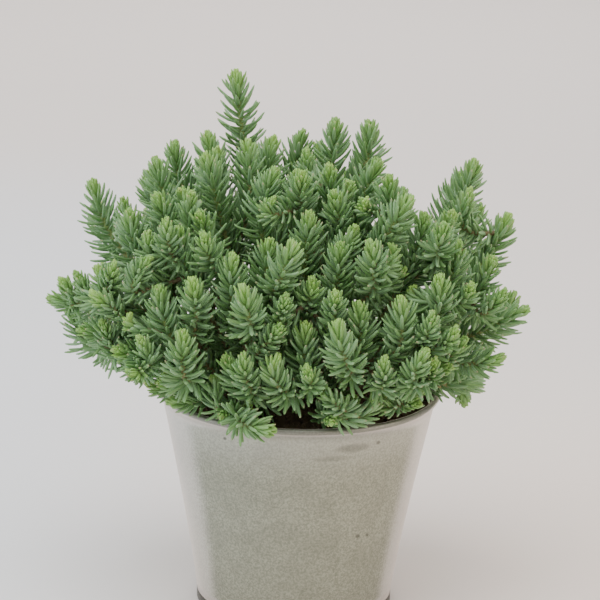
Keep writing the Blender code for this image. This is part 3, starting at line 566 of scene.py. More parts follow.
def build_mesh(name, points, faces, slots=None, marks=None):
    """A smooth mesh from points, arrays of faces with equal corners, their material numbers and marks."""
    mesh = bpy.data.meshes.new(name)
    corners = np.concatenate([block.ravel() for block in faces])
    sizes = np.concatenate([np.full(len(block), block.shape[1]) for block in faces])
    mesh.vertices.add(len(points))
    mesh.vertices.foreach_set("co", (METRE * points).ravel())
    mesh.loops.add(len(corners))
    mesh.loops.foreach_set("vertex_index", corners.astype(np.int32))
    mesh.polygons.add(len(sizes))
    mesh.polygons.foreach_set("loop_start", (np.cumsum(sizes) - sizes).astype(np.int32))
    mesh.polygons.foreach_set("use_smooth", np.ones(len(sizes), dtype=bool))
    if slots is not None:
        mesh.polygons.foreach_set("material_index", slots.astype(np.int32))
    for mark, values in (marks or {}).items():
        layer = mesh.attributes.new(mark, "FLOAT", "POINT")
        layer.data.foreach_set("value", values.astype(np.float32))
    mesh.update(calc_edges=True)
    thing = bpy.data.objects.new(name, mesh)
    bpy.context.scene.collection.objects.link(thing)
    return thing


def around(sides):
    """Angles spread evenly around a circle."""
    return 2 * math.pi * np.arange(sides) / sides


def band_faces(rings, sides):
    """Faces between rings of points that follow one another."""
    ring = np.arange(sides)
    after = (ring + 1) % sides
    band = np.stack((ring, after, sides + after, sides + ring), axis=1)
    return np.concatenate([row + band for row in sides * np.arange(rings - 1)])


def tube_faces(rings, sides):
    """Faces of a tube of rings that end in one point, with a flat cap at its start."""
    ring = np.arange(sides)
    last = sides * (rings - 1)
    end = np.stack((last + ring, last + (ring + 1) % sides, np.full(sides, last + sides)), axis=1)
    return ring[None, ::-1], band_faces(rings, sides), end


def rings_around(radii, heights, sides):
    """Rings of points around the z axis, one for each radius and height."""
    turn = around(sides)
    x, y = radii[:, None] * np.cos(turn), radii[:, None] * np.sin(turn)
    return np.stack((x, y, np.broadcast_to(heights[:, None], x.shape)), axis=-1)


def place_piece(thing, looks, node):
    for look in looks:
        thing.data.materials.append(look)
    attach(thing, BODY)
    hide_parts(node)


# The corners of a quad, taken so that it faces the other way
TURNED_OVER = (0, 3, 2, 1)

# The leaves along a shoot: how far below the tip, how they spread, how long and wide they are.
# Fine and coarse leaves have rings of points at the chosen stations, with so many sides.
SPREAD_STOPS = (0.0, 4.0, 9.0, 15.0, 24.0, 45.0, 80.0)
START_SPREADS = (8.0, 22.0, 42.0, 60.0, 74.0, 86.0, 92.0)
END_SPREADS = (2.0, 6.0, 18.0, 34.0, 50.0, 62.0, 70.0)
LEAF_LENGTHS = (1.6, 5.0, 8.8, 11.0, 12.4, 12.8, 12.0)
LEAF_GAPS = (0.22, 0.28, 0.36, 0.43, 0.5, 0.64, 0.9)
LEAF_WIDTHS = (0.72, 0.85, 0.95, 1.0, 1.0, 1.0, 1.0)
LEAF_WIDTH = 1.8
LEAF_THICKNESS = 1.3
FIRST_LEAF = 0.4
SIDE_VIGOUR = 0.82
STATIONS = np.array((0.0, 0.2, 0.5, 0.8, 0.95))
STATION_WIDTHS = np.array((0.74, 0.97, 1.0, 0.88, 0.52))
FINE = ([0, 1, 2, 3, 4], 6)
COARSE = ([0, 2, 3], 4)
FINE_DEPTH = 36.0
SHARE_OF_AXIS = 0.92
SIDE_SHARE_OF_AXIS = 0.9
BENDS = (1.0, 0.8, 0.62, 0.45)
CROWDING = 0.75
CROWDED_LENGTH = 0.75
CROWD_TESTS = np.array((0.6, 1.0))
NEIGHBOURS = 4
ALONG_X = 0.8
AXIS_STEP = 2.0
LEAF_LIFT = 0.1
SPREAD_WOBBLE = 8.0
TURN_WOBBLE = 10.0
LENGTH_WOBBLE = 0.15
SIDEWAYS = 8.0
POT_ROOM = 1.1
POT_TESTS = np.array((0.15, 0.3, 0.45, 0.6, 0.75, 0.9, 1.0))
LEAF_MARKS = ("depth", "chance", "lime")
STEM_SIDES = 7
STEM_STEP = 4.0
STEM_RINGS = 6
STEM_TIP = 1.0
STEM_TIP_RADIUS = 0.8
STEM_WAIST = 0.85
SIDE_STEM = 0.8
STEM_SINK = 7.0


def axis_frames(shoot, arcs):
    """The places, tangents and two side vectors along an axis, carried without twisting."""
    places = shoot.at(arcs)
    tangents = unit(shoot.at(arcs + TANGENT_REACH) - shoot.at(arcs - TANGENT_REACH))
    side = np.cross(tangents[0], X_AXIS if abs(tangents[0][0]) < ALONG_X else Y_AXIS)
    sides = []
    for tangent in tangents:
        side = unit(side - tangent * (side @ tangent))
        sides.append(side)
    sides = np.array(sides)
    return places, tangents, sides, np.cross(tangents, sides)


def leaf_depths(shoot):
    """How far below the tip each leaf of a shoot sits."""
    share = SHARE_OF_AXIS if shoot.rings > SIDE_RINGS else SIDE_SHARE_OF_AXIS
    limit = share * shoot.arcs()[-1]
    depths, depth = [], FIRST_LEAF
    while depth < limit:
        depths.append(depth)
        depth += np.interp(depth, SPREAD_STOPS, LEAF_GAPS)
    return np.array(depths[::-1])


def lay_leaves(shoot, random):
    """Where each leaf of a shoot starts, its directions, and how it is bent."""
    depths = leaf_depths(shoot)
    count = len(depths)
    total = shoot.arcs()[-1]
    places, tangents, sides, others = axis_frames(shoot, total - depths)
    wobble = random.uniform(-1, 1, (4, count))
    turn = GOLDEN_ANGLE * np.arange(count) + np.radians(TURN_WOBBLE * wobble[0])
    out = np.cos(turn)[:, None] * sides + np.sin(turn)[:, None] * others
    spread = SPREAD_WOBBLE * wobble[1]
    lean = np.radians(SIDEWAYS * wobble[2])[:, None]
    across = unit(np.cross(tangents, out))
    vigour = SIDE_VIGOUR if shoot.rings <= SIDE_RINGS else 1.0

    def by_depth(values):
        return np.interp(depths, SPREAD_STOPS, values)

    return {
        "place": places,
        "tangent": tangents,
        "out": np.cos(lean) * out + np.sin(lean) * across,
        "start": np.radians(by_depth(START_SPREADS) + spread),
        "end": np.radians(by_depth(END_SPREADS) + spread),
        "length": vigour * by_depth(LEAF_LENGTHS) * (1 + LENGTH_WOBBLE * wobble[3]),
        "width": by_depth(LEAF_WIDTHS),
        "depth": depths,
        "chance": random.uniform(0, 1, count),
        "lime": np.full(count, random.uniform(0, 1)),
    }


def leaf_lines(leaves, stations, bend):
    """The middle line of each leaf at its stations, and the directions along it."""
    start = (bend * leaves["start"])[:, None]
    turn = (bend * (leaves["end"] - leaves["start"]))[:, None]
    length = leaves["length"][:, None]
    angle = start + turn * stations
    along = length * (np.sin(angle) - np.sin(start)) / turn
    out = length * (np.cos(start) - np.cos(angle)) / turn
    lift = LEAF_LIFT * length * stations**2
    tangent, way = leaves["tangent"][:, None], leaves["out"][:, None]
    reach = along[..., None] * tangent + out[..., None] * way
    line = leaves["place"][:, None] + reach + lift[..., None] * Z_AXIS
    steep = 2 * LEAF_LIFT * stations[:, None] * Z_AXIS
    ways = np.cos(angle)[..., None] * tangent + np.sin(angle)[..., None] * way + steep
    return line, unit(ways)


def bend_clear(leaves, own, tree, owners):
    """Bends each leaf towards its own axis where it would reach into another shoot or the pot."""
    count = len(leaves["depth"])
    bend = np.full(count, BENDS[-1])
    waiting = np.ones(count, dtype=bool)
    for factor in BENDS:
        line, _ = leaf_lines(leaves, CROWD_TESTS, np.full(count, factor))
        clear = np.ones(count, dtype=bool)
        for index in np.flatnonzero(waiting):
            for place in line[index]:
                clear[index] &= has_room(place, own, tree, owners)
        bend[waiting & clear] = factor
        waiting &= ~clear
    line, _ = leaf_lines(leaves, POT_TESTS, bend)
    free = np.linalg.norm(clear_of_pot(line, POT_ROOM) - line, axis=2).max(axis=1) <= TINY
    return bend, ~waiting, free


def has_room(place, own, tree, owners):
    """Whether a place is nearer to its own shoot than to the others."""
    nearest = {}
    for _, index, distance in tree.find_n(Vector(place), NEIGHBOURS):
        nearest.setdefault(owners[index] == own, distance)
    return nearest.get(False, math.inf) > CROWDING * nearest.get(True, math.inf)


def axis_tree(shoots):
    """A search tree of places along all the shoots, and whose each place is."""
    places, owners = [], []
    for number, shoot in enumerate(shoots):
        arcs = np.arange(0.0, shoot.arcs()[-1], AXIS_STEP)
        places.extend(shoot.at(arcs))
        owners.extend([number] * len(arcs))
    tree = KDTree(len(places))
    for index, place in enumerate(places):
        tree.insert(Vector(place), index)
    tree.balance()
    return tree, owners


def leaf_mesh(leaves, chosen, sides):
    """The points, faces and marks of a set of leaves, with rings of points at the chosen stations."""
    stations, widths = STATIONS[chosen], STATION_WIDTHS[chosen]
    line, ways = leaf_lines(leaves, np.append(stations, 1.0), leaves["bend"])
    count, rings = len(line), len(stations)
    across = unit(np.cross(leaves["tangent"], leaves["out"]))[:, None]
    flat = unit(across - ways[:, :-1] * (across * ways[:, :-1]).sum(axis=-1, keepdims=True))
    up = np.cross(ways[:, :-1], flat)
    half = 0.5 * leaves["width"][:, None] * widths
    ring = around(sides)
    reach = (LEAF_WIDTH * np.cos(ring))[:, None] * flat[:, :, None]
    reach += (LEAF_THICKNESS * np.sin(ring))[:, None] * up[:, :, None]
    body = line[:, :-1, None] + half[..., None, None] * reach
    points = np.concatenate((body.reshape(count, -1, 3), line[:, -1:]), axis=1)
    size = points.shape[1]
    start = size * np.arange(count)[:, None, None]
    faces = [(start + block[None]).reshape(-1, block.shape[1]) for block in tube_faces(rings, sides)]
    marks = {mark: np.repeat(leaves[mark], size) for mark in LEAF_MARKS}
    marks["along"] = np.tile(np.append(np.repeat(stations, sides), 1.0), count)
    return points.reshape(-1, 3), faces, marks


def stem_mesh(shoot, rooted):
    """The stalk of a shoot as a tapering tube."""
    total = shoot.arcs()[-1]
    arcs = np.linspace(0.0, total - STEM_TIP, max(STEM_RINGS, round(total / STEM_STEP)))
    places, tangents, sides, others = axis_frames(shoot, arcs)
    thick = STEM_RADIUS if rooted else SIDE_STEM * STEM_RADIUS
    radii = np.interp(arcs / total, (0.0, 0.5, 1.0), (thick, STEM_WAIST * thick, STEM_TIP_RADIUS))
    if rooted:
        places = np.concatenate(((shoot.root - STEM_SINK * Z_AXIS)[None], places))
        sides, others, radii = (np.concatenate((each[:1], each)) for each in (sides, others, radii))
    ring = around(STEM_SIDES)
    reach = np.cos(ring)[:, None] * sides[:, None] + np.sin(ring)[:, None] * others[:, None]
    body = places[:, None] + radii[:, None, None] * reach
    points = np.concatenate((body.reshape(-1, 3), shoot.at(total)[None]))
    marks = dict.fromkeys(LEAF_MARKS, np.zeros(len(points)))
    marks["along"] = np.append(np.repeat(np.linspace(0, 1, len(places)), STEM_SIDES), 1.0)
    return points, list(tube_faces(len(places), STEM_SIDES)), marks


def some(leaves, which):
    return {key: values[which] for key, values in leaves.items()}


def join_parts(parts):
    """Joins points, faces, material numbers and marks of several parts into one set."""
    points, faces, slots, marks = [], [], [], {}
    start = 0
    for part_points, part_faces, part_marks, slot in parts:
        points.append(part_points)
        faces += [block + start for block in part_faces]
        slots += [np.full(len(block), slot) for block in part_faces]
        for mark, values in part_marks.items():
            marks.setdefault(mark, []).append(values)
        start += len(part_points)
    marks = {mark: np.concatenate(values) for mark, values in marks.items()}
    return np.concatenate(points), faces, np.concatenate(slots), marks


def make_plant(leaf_look, stalk_look):
    """One fine piece for each stem of the model, with all the side shoots that fork off it."""
    random = np.random.default_rng(SEED)
    rooted, joined = grow_plant()
    shoots = rooted + joined
    tree, owners = axis_tree(shoots)
    parts = {shoot: [] for shoot in rooted}
    for number, shoot in enumerate(shoots):
        leaves = lay_leaves(shoot, random)
        bend, kept, free = bend_clear(leaves, number, tree, owners)
        leaves["bend"] = bend
        leaves["length"] = np.where(kept, leaves["length"], CROWDED_LENGTH * leaves["length"])
        leaves = some(leaves, free)
        fine = leaves["depth"] < FINE_DEPTH
        root = shoot
        while root.parent is not None:
            root = root.parent
        for which, grade in ((fine, FINE), (~fine, COARSE)):
            if which.any():
                parts[root].append((*leaf_mesh(some(leaves, which), *grade), 0))
        parts[root].append((*stem_mesh(shoot, shoot.root is not None), 1))
    for index, shoot in enumerate(rooted):
        node = f"stem_{index + 1:02d}"
        points, faces, slots, marks = join_parts(parts[shoot])
        plant = build_mesh(f"leafy_{node}", points, faces, slots, marks)
        place_piece(plant, (leaf_look, stalk_look), node)


# The pot and the soil

def turned(name, profile):
    """Turns a closed profile of radius and height, which runs anticlockwise, around the z axis."""
    radii, heights = np.array(profile).T
    points = rings_around(radii, heights, POT_SIDES)
    faces = band_faces(len(radii) + 1, POT_SIDES) % (len(radii) * POT_SIDES)
    return build_mesh(name, points.reshape(-1, 3), [faces])


def make_pot_wall(look):
    heights = np.linspace(WALL_BOTTOM, WALL_TOP, WALL_ROWS + 1)
    outside = [(wall_radius(z), z) for z in heights]
    angles = np.radians(np.linspace(*BEAD_TURN, BEAD_STEPS))
    out, up = BEAD_CENTRE
    bead = [(out + BEAD_RADIUS * math.cos(a), up + BEAD_RADIUS * math.sin(a)) for a in angles]
    inside = [(wall_radius(z) - SHEET, z) for z in heights[::-1]]
    place_piece(turned("zinc_wall", outside + bead + inside), (look,), "pot_wall")


def make_pot_foot(look):
    outer, inner, soft = WALL_FOOT_RADIUS, WALL_FOOT_RADIUS - FOOT_RING, FOOT_SOFTNESS
    ring = [
        (TINY, 0.0), (outer - soft, 0.0), (outer, soft), (outer, FOOT_HEIGHT - soft),
        (outer - soft, FOOT_HEIGHT), (inner, FOOT_HEIGHT), (inner, SHEET), (TINY, SHEET),
    ]
    place_piece(turned("zinc_foot_pan", ring), (look,), "pot_base")


CRUMBS = 900
CRUMB_SIZES = (0.5, 1.9)
CRUMB_LIFT = 0.15
CRUMB_UNEVENNESS = (0.7, 1.15)
CRUMB_FACES = np.array((
    (0, 11, 5), (0, 5, 1), (0, 1, 7), (0, 7, 10), (0, 10, 11), (1, 5, 9), (5, 11, 4), (11, 10, 2), (10, 7, 6),
    (7, 1, 8), (3, 9, 4), (3, 4, 2), (3, 2, 6), (3, 6, 8), (3, 8, 9), (4, 9, 5), (2, 4, 11), (6, 2, 10),
    (8, 6, 7), (9, 8, 1),
))
SOIL_CENTRE = 0.4
SOIL_RINGS = 46
SOIL_SIDES = 120
SOIL_SIDE_START = 2.0
SOIL_SIDE_RINGS = 5
SOIL_ROUGH = 0.9
SOIL_WAVES = ((0.31, 0.12, 0.0), (-0.17, 0.41, 1.3), (0.73, -0.52, 2.1), (-1.15, 0.83, 0.6), (1.7, 1.45, 4.0))


def soil_bumps(x, y):
    """Uneven heights of the soil, as a sum of a few crossing waves."""
    waves = sum(np.sin(a * x + b * y + c) / (1 + k) for k, (a, b, c) in enumerate(SOIL_WAVES))
    return SOIL_ROUGH * waves / 2


def make_soil(look):
    """A lumpy top strewn with crumbs."""
    edge = wall_radius(SOIL_EDGE) - SHEET - SEAT
    pan = WALL_FOOT_RADIUS - FOOT_RING - SEAT
    levels = np.linspace(SOIL_EDGE - SOIL_SIDE_START, WALL_BOTTOM, SOIL_SIDE_RINGS)
    top_radii = np.linspace(SOIL_CENTRE, edge, SOIL_RINGS)
    radii = np.concatenate((top_radii, wall_radius(levels) - SHEET - SEAT, (pan, pan, SOIL_CENTRE)))
    heights = np.concatenate((soil_height(top_radii), levels, (FOOT_HEIGHT, SHEET + SEAT, SHEET + SEAT)))
    rings = rings_around(radii, heights, SOIL_SIDES)
    x, y, z = np.moveaxis(rings[:SOIL_RINGS], -1, 0)
    z[:] = np.minimum(z + soil_bumps(x, y), SOIL_MIDDLE + SOIL_ROUGH)
    points = rings.reshape(-1, 3)
    faces = band_faces(len(radii), SOIL_SIDES)[:, TURNED_OVER]
    column = np.arange(SOIL_SIDES)
    last = SOIL_SIDES * (len(radii) - 1)
    caps = [column[None], (last + column)[None, ::-1]]
    crumbs, crumb_faces = make_crumbs(len(points), edge)
    soil = build_mesh("crumbly_soil", np.concatenate((points, crumbs)), [faces, *caps, crumb_faces])
    place_piece(soil, (look,), "soil")


def make_crumbs(first, edge):
    """Small uneven lumps lying on the soil."""
    random = np.random.default_rng(SEED + 1)
    golden = (1 + math.sqrt(5)) / 2
    corners = [np.roll((a, b, 0), turn) for turn in range(3) for b in (golden, -golden) for a in (-1, 1)]
    corners = unit(np.array(corners))
    radius = (edge - CRUMB_SIZES[1]) * np.sqrt(random.uniform(0, 1, CRUMBS))
    turn = random.uniform(0, 2 * math.pi, CRUMBS)
    x, y = radius * np.cos(turn), radius * np.sin(turn)
    size = random.uniform(*CRUMB_SIZES, CRUMBS)
    centre = np.stack((x, y, soil_height(radius) + soil_bumps(x, y) + CRUMB_LIFT * size), axis=1)
    uneven = random.uniform(*CRUMB_UNEVENNESS, (CRUMBS, len(corners), 1))
    points = centre[:, None] + size[:, None, None] * uneven * corners
    faces = CRUMB_FACES + first + len(corners) * np.arange(CRUMBS)[:, None, None]
    return points.reshape(-1, 3), faces.reshape(-1, 3)


# The materials

FULL_LEVEL = 255
GAMMA = 2.4
GAMMA_SHIFT = 0.055

# A Mix node's sockets for its share and its two colours, and for its result
MIX_INPUTS = (0, 6, 7)
MIX_RESULT = 2

# How spots fade outwards, and towards the back
SPOT_FADE = (0.1, 1.0, 1.0, 0.0)
FRONT_FADE = (-0.01, 0.0, 1.0, 0.0)


def colour(*levels):
    """A colour from its levels of red, green and blue, as linear light."""
    shares = [level / FULL_LEVEL for level in levels]
    return tuple(((share + GAMMA_SHIFT) / (1 + GAMMA_SHIFT)) ** GAMMA for share in shares) + (1.0,)


class Look:
    """A material with short names for building its nodes."""

    def __init__(self, name):
        self.material = bpy.data.materials.new(name)
        self.material.use_nodes = True
        self.nodes = self.material.node_tree.nodes
        self.links = self.material.node_tree.links
        self.shader = self.nodes["Principled BSDF"]

    def set(self, **values):
        for name, value in values.items():
            self.shader.inputs[name.replace("_", " ")].default_value = value

    def node(self, kind, inputs, **settings):
        node = self.nodes.new("ShaderNode" + kind)
        for name, value in settings.items():
            setattr(node, name, value)
        for name, value in inputs.items():
            if isinstance(value, bpy.types.NodeSocket):
                self.links.new(value, node.inputs[name])
            else:
                node.inputs[name].default_value = value
        return node

    def mark(self, name):
        return self.node("Attribute", {}, attribute_name=name).outputs["Fac"]

    def place(self):
        return self.node("TexCoord", {}).outputs["Object"]

    def axis(self, name):
        return self.node("SeparateXYZ", {"Vector": self.place()}).outputs[name]

    def noise(self, size, detail=4.0, roughness=0.6, stretch=(1.0, 1.0, 1.0)):
        """Cloudy noise with lumps of about this size in millimetres."""
        scale = tuple(1 / (size * METRE * part) for part in stretch)
        where = self.node("Mapping", {"Vector": self.place(), "Scale": scale}).outputs["Vector"]
        inputs = {"Vector": where, "Scale": 1.0, "Detail": detail, "Roughness": roughness}
        return self.node("TexNoise", inputs).outputs["Fac"]

    def math(self, kind, first, second=0.0):
        return self.node("Math", {0: first, 1: second}, operation=kind).outputs["Value"]

    def ease(self, value, low, high, start=0.0, end=1.0):
        """Maps a value from one range to another smoothly and holds it at the ends."""
        inputs = {"Value": value, "From Min": low, "From Max": high, "To Min": start, "To Max": end}
        return self.node("MapRange", inputs, interpolation_type="SMOOTHSTEP").outputs["Result"]

    def spot(self, across, height, wide, tall):
        """A soft spot on the front, from its middle and half sizes in millimetres."""
        x = self.math("DIVIDE", self.math("SUBTRACT", self.axis("X"), across * METRE), wide * METRE)
        z = self.math("DIVIDE", self.math("SUBTRACT", self.axis("Z"), height * METRE), tall * METRE)
        away = self.math("ADD", self.math("MULTIPLY", x, x), self.math("MULTIPLY", z, z))
        front = self.ease(self.axis("Y"), *FRONT_FADE)
        return self.math("MULTIPLY", self.ease(away, *SPOT_FADE), front)

    def mix(self, part, first, second):
        inputs = dict(zip(MIX_INPUTS, (part, first, second)))
        return self.node("Mix", inputs, data_type="RGBA").outputs[MIX_RESULT]

    def bump(self, height, strength, distance):
        inputs = {"Height": height, "Strength": strength, "Distance": distance * METRE}
        self.wire("Normal", self.node("Bump", inputs).outputs["Normal"])

    def wire(self, name, value):
        self.links.new(value, self.shader.inputs[name])


# Leaves: their colours, and ranges from a low to a high value with the share at each
LEAF_GREENS = (colour(98, 139, 82), colour(116, 157, 96))
LEAF_GREY = colour(124, 162, 116)
LEAF_LIMES = (colour(117, 163, 70), colour(146, 190, 82))
LEAF_LOW = colour(106, 145, 86)
LEAF_ROOT = colour(136, 160, 98)
LEAF_WAX = colour(148, 180, 142)
LEAF_BLUSH = colour(176, 140, 112)
LEAF_SHEEN = colour(214, 226, 216)
GREY_CHANCE = (0.2, 0.9)
LIME_DEPTH = (2.0, 14.0, 0.85, 0.0)
LOW_DEPTH = (26.0, 70.0, 0.0, 0.75)
ROOT_ALONG = (0.0, 0.3, 0.55, 0.0)
WAX_RANGE = (0.42, 0.7, 0.0, 0.22)
BLUSH_ALONG = (0.84, 1.0)
BLUSH_CHANCE = (0.78, 1.0, 0.0, 0.5)
LEAF_ROUGHNESS = (0.3, 0.7, 0.42, 0.62)


def make_leaf_look():
    """Waxy blue-green leaves, lime at the young tips, with blush on some points."""
    look = Look("sedum_leaf")
    along, depth = look.mark("along"), look.mark("depth")
    chance, lime = look.mark("chance"), look.mark("lime")
    green = look.mix(look.noise(size=9.0), *LEAF_GREENS)
    old = look.mix(look.ease(chance, *GREY_CHANCE), green, LEAF_GREY)
    young = look.mix(lime, *LEAF_LIMES)
    body = look.mix(look.ease(depth, *LIME_DEPTH), old, young)
    body = look.mix(look.ease(depth, *LOW_DEPTH), body, LEAF_LOW)
    root = look.mix(look.ease(along, *ROOT_ALONG), body, LEAF_ROOT)
    waxed = look.mix(look.ease(look.noise(size=1.4), *WAX_RANGE), root, LEAF_WAX)
    blush = look.math("MULTIPLY", look.ease(along, *BLUSH_ALONG), look.ease(chance, *BLUSH_CHANCE))
    look.wire("Base Color", look.mix(blush, waxed, LEAF_BLUSH))
    look.wire("Roughness", look.ease(look.noise(size=1.8), *LEAF_ROUGHNESS))
    look.set(Subsurface_Weight=0.2, Subsurface_Radius=(0.9, 1.4, 0.4), Subsurface_Scale=METRE)
    look.set(Sheen_Weight=0.08, Sheen_Roughness=0.5, Sheen_Tint=LEAF_SHEEN, Specular_IOR_Level=0.4)
    look.bump(look.noise(size=0.5), strength=0.25, distance=0.12)
    return look.material


STALK_BROWN = colour(112, 98, 70)
STALK_PINK = colour(150, 142, 100)
STALK_GREEN = colour(132, 158, 88)
STALK_SCAR = colour(96, 88, 62)
BROWN_ALONG = (0.1, 0.5)
GREEN_ALONG = (0.5, 0.9)
SCAR_RANGE = (0.3, 0.7, 0.0, 0.3)


def make_stalk_look():
    """Stalks that run from brown at the soil to pinkish and yellow-green near the tips."""
    look = Look("sedum_stalk")
    along = look.mark("along")
    base = look.mix(look.ease(along, *BROWN_ALONG), STALK_BROWN, STALK_PINK)
    stalk = look.mix(look.ease(along, *GREEN_ALONG), base, STALK_GREEN)
    scars = look.ease(look.noise(size=1.5), *SCAR_RANGE)
    look.wire("Base Color", look.mix(scars, stalk, STALK_SCAR))
    look.set(Roughness=0.6, Specular_IOR_Level=0.35)
    look.bump(look.noise(size=0.9, stretch=(1.0, 1.0, 0.4)), strength=0.5, distance=0.3)
    return look.material


# Zinc: its light and dark tones, a pale tone of painted light for the wall's upper band, and how strongly its
# edges shine; the foot's tones are darkened as painted shade
POT_ZINC = (colour(161, 164, 146), colour(108, 111, 96), colour(186, 187, 178), 1.0)
# The foot is the same zinc as the wall, its tones darkened as painted shade
FOOT_SHADED_ZINC = (colour(84, 84, 76), colour(62, 62, 56), colour(84, 84, 76), 0.1)
ZINC_SHEEN = colour(246, 234, 226)
GRAIN_RANGE = (0.38, 0.62)
GRAIN_SHARE = 0.75
CLOUD_RANGE = (0.35, 0.7)
CLOUD_SHARE = 0.3
BRUSHING_RANGE = (0.4, 0.65, 0.0, 0.22)
# How deep the band of painted light under the rim reaches, and how strongly it pales the zinc
PAINTED_LIGHT_BAND = 30.0
PAINTED_LIGHT_SHARE = 0.5
# How softly and how strongly the rolled bead is darkened as painted shade
BEAD_SHADE_SOFTNESS = 0.5
BEAD_SHADE_SHARE = 0.55
ZINC_ROUGHNESS = (0.0, 1.0, 0.42, 0.56)
EDGE_BAND = (0.44, 0.6, 0.1)
RIGHT_EDGE = (0.0, 0.06, 0.0, 0.12)
# The colour of the stains, also used for the painted shade on the rolled bead
STAIN_AND_BEAD_SHADE = colour(58, 60, 50)
STAINS = (
    # across, height, half width, half height, strength
    (24.4, 92.5, 10.0, 2.6, 0.4), (-31.8, 94.3, 1.0, 1.0, 0.7), (35.5, 93.4, 1.2, 1.2, 0.6),
    (28.0, 47.0, 1.3, 1.3, 0.7), (32.3, 46.5, 1.0, 1.0, 0.7), (16.0, 88.0, 12.0, 1.6, 0.25),
)


def make_zinc_look(name, light, dark, painted_light_top, shine):
    """Dull galvanised sheet: fine grain, faint upright brushing and a few cloudy stains, with painted light
    on the upper band and painted shade on the rolled bead.
    """
    look = Look(name)
    grain = look.ease(look.noise(size=1.0, detail=6.0, roughness=0.75), *GRAIN_RANGE)
    cloud = look.ease(look.noise(size=14.0, detail=3.0), *CLOUD_RANGE)
    brushed = look.noise(size=0.8, roughness=0.7, stretch=(1.0, 1.0, 24.0))
    tone = look.mix(look.math("MULTIPLY", grain, GRAIN_SHARE), light, dark)
    tone = look.mix(look.math("MULTIPLY", cloud, CLOUD_SHARE), tone, dark)
    tone = look.mix(look.ease(brushed, *BRUSHING_RANGE), tone, light)
    # Painted light: the wall grows paler towards the rim over its upper band
    below, top = METRE * (POT_HEIGHT - PAINTED_LIGHT_BAND), METRE * POT_HEIGHT
    tone = look.mix(look.ease(look.axis("Z"), below, top, 0.0, PAINTED_LIGHT_SHARE), tone, painted_light_top)
    for *spot, strength in STAINS:
        tone = look.mix(look.math("MULTIPLY", look.spot(*spot), strength), tone, STAIN_AND_BEAD_SHADE)
    # Painted shade: the rolled bead above the wall's top is darkened
    below, top = METRE * (WALL_TOP - BEAD_SHADE_SOFTNESS), METRE * (WALL_TOP + BEAD_SHADE_SOFTNESS)
    look.wire("Base Color", look.mix(look.ease(look.axis("Z"), below, top, 0.0, BEAD_SHADE_SHARE), tone, STAIN_AND_BEAD_SHADE))
    look.wire("Roughness", look.ease(grain, *ZINC_ROUGHNESS))
    facing = look.node("LayerWeight", {"Blend": 0.5}).outputs["Facing"]
    edge = look.math("SUBTRACT", facing, look.ease(look.axis("X"), *RIGHT_EDGE))
    band = look.ease(edge, *EDGE_BAND, shine)
    look.wire("Sheen Weight", band)
    look.wire("Coat Weight", band)
    look.set(Metallic=0.7, Sheen_Roughness=0.5, Sheen_Tint=ZINC_SHEEN, Coat_IOR=2.4, Coat_Roughness=0.22)
    look.bump(brushed, strength=0.12, distance=0.1)
    return look.material


SOIL_TONES = (colour(62, 54, 42), colour(122, 104, 82))


def make_soil_look():
    look = Look("potting_soil")
    look.wire("Base Color", look.mix(look.noise(size=2.5, detail=6.0, roughness=0.7), *SOIL_TONES))
    look.set(Roughness=0.95, Specular_IOR_Level=0.2)
    look.bump(look.noise(size=0.8, detail=6.0, roughness=0.75), strength=0.8, distance=0.5)
    return look.material


# The floor's tones, and each tint of painted light with its ranges across and deep in metres: cool light on
# the left, a warm glow on the right
FLOOR_TONES = (colour(224, 220, 217), colour(227, 223, 220))
FLOOR_PAINTED_LIGHT = (
    (colour(222, 226, 231), (-0.2, 0.0, 1.0, 0.0), (0.6, 1.2, 1.0, 0.0)),
    (colour(234, 223, 214), (-0.1, 0.2), (0.0, 0.5, 1.0, 0.0)),
)


def make_floor_look():
    """Pale paper with painted light: a cool tint on the left and a warm glow on the right."""
    look = Look("pale_floor")
    tone = look.mix(look.noise(size=600.0, detail=2.0), *FLOOR_TONES)
    # Painted light: tints of cool and warm light are mixed into the floor's colour
    for tint, across, deep in FLOOR_PAINTED_LIGHT:
        share = look.math("MULTIPLY", look.ease(look.axis("X"), *across), look.ease(look.axis("Y"), *deep))
        tone = look.mix(share, tone, tint)
    look.wire("Base Color", tone)
    look.set(Roughness=0.85, Specular_IOR_Level=0.15)
    look.bump(look.noise(size=1.5), strength=0.05, distance=0.1)
    return look.material


# The stage, the light and the camera

STAGE_FLAT = 2600.0
STAGE_CURVE = 900.0
STAGE_WALL = 3200.0
STAGE_SIDES = 96
STAGE_STEPS = 12


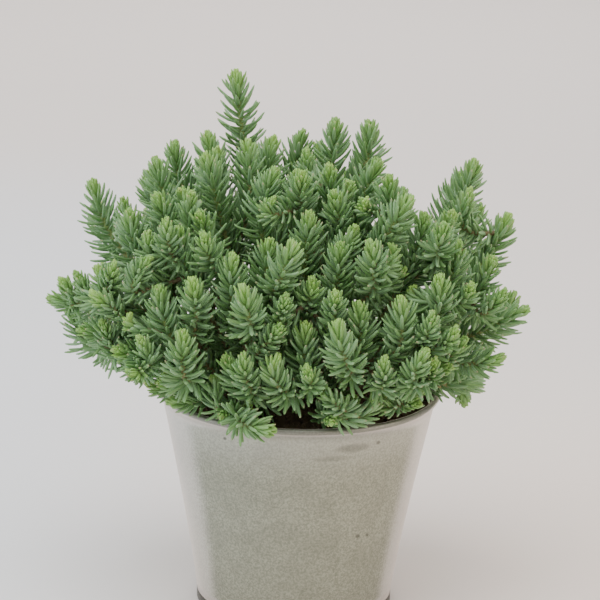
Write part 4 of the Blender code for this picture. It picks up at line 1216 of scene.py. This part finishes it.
def make_stage(look):
    """A round floor that sweeps up into a wall on all sides."""
    bend = [
        (STAGE_FLAT + STAGE_CURVE * math.sin(a), STAGE_CURVE * (1 - math.cos(a)))
        for a in np.linspace(0, math.pi / 2, STAGE_STEPS)
    ]
    radii, heights = np.array([(STAGE_FLAT / 2, 0.0), *bend, (STAGE_FLAT + STAGE_CURVE, STAGE_WALL)]).T
    points = rings_around(radii, heights, STAGE_SIDES).reshape(-1, 3)
    faces = band_faces(len(radii), STAGE_SIDES)[:, TURNED_OVER]
    floor = build_mesh("studio_floor", points, [faces, np.arange(STAGE_SIDES)[None]])
    floor.data.materials.append(look)


PLANT_MIDDLE = (0.0, 0.0, 130.0)
LAMPS = (
    # name, place, aim, size, watts, colour
    ("overhead", (-250.0, -350.0, 1500.0), PLANT_MIDDLE, 1500.0, 21.0, (255, 252, 246)),
    ("left_side", (-1500.0, -900.0, 900.0), PLANT_MIDDLE, 1100.0, 13.0, (250, 250, 252)),
    ("right_side", (1500.0, -700.0, 700.0), PLANT_MIDDLE, 1100.0, 10.0, (255, 240, 228)),
    ("far_floor", (0.0, 2000.0, 1700.0), (0.0, 2200.0, 0.0), 1600.0, 26.0, (255, 246, 240)),
)
SKY = colour(246, 246, 248)
SKY_STRENGTH = 1.22


def make_lights():
    world = bpy.data.worlds.new("studio_air")
    bpy.context.scene.world = world
    world.use_nodes = True
    air = world.node_tree.nodes["Background"]
    air.inputs["Color"].default_value = SKY
    air.inputs["Strength"].default_value = SKY_STRENGTH
    for name, place, aim, size, watts, tint in LAMPS:
        light = bpy.data.lights.new(name, "AREA")
        light.shape = "DISK"
        light.size = size * METRE
        light.energy = watts
        light.color = colour(*tint)[:3]
        lamp = bpy.data.objects.new(name, light)
        lamp.location = METRE * Vector(place)
        lamp.rotation_mode = "QUATERNION"
        lamp.rotation_quaternion = (METRE * Vector(aim) - lamp.location).to_track_quat("-Z", "Y")
        bpy.context.scene.collection.objects.link(lamp)


def make_camera():
    data = bpy.data.cameras.new("camera")
    data.lens = LENS
    data.sensor_width = SENSOR
    camera = bpy.data.objects.new("camera", data)
    turn = Matrix((ACROSS, RISE, -LOOK)).transposed()
    camera.matrix_world = Matrix.Translation(METRE * Vector(EYE)) @ turn.to_4x4()
    bpy.context.scene.collection.objects.link(camera)
    bpy.context.scene.camera = camera


make_camera()
make_lights()
make_stage(make_floor_look())
make_pot_wall(make_zinc_look("dull_zinc", *POT_ZINC))
# The foot pan's zinc is darkened as painted shade
make_pot_foot(make_zinc_look("painted_shade_zinc", *FOOT_SHADED_ZINC))
make_soil(make_soil_look())
make_plant(make_leaf_look(), make_stalk_look())
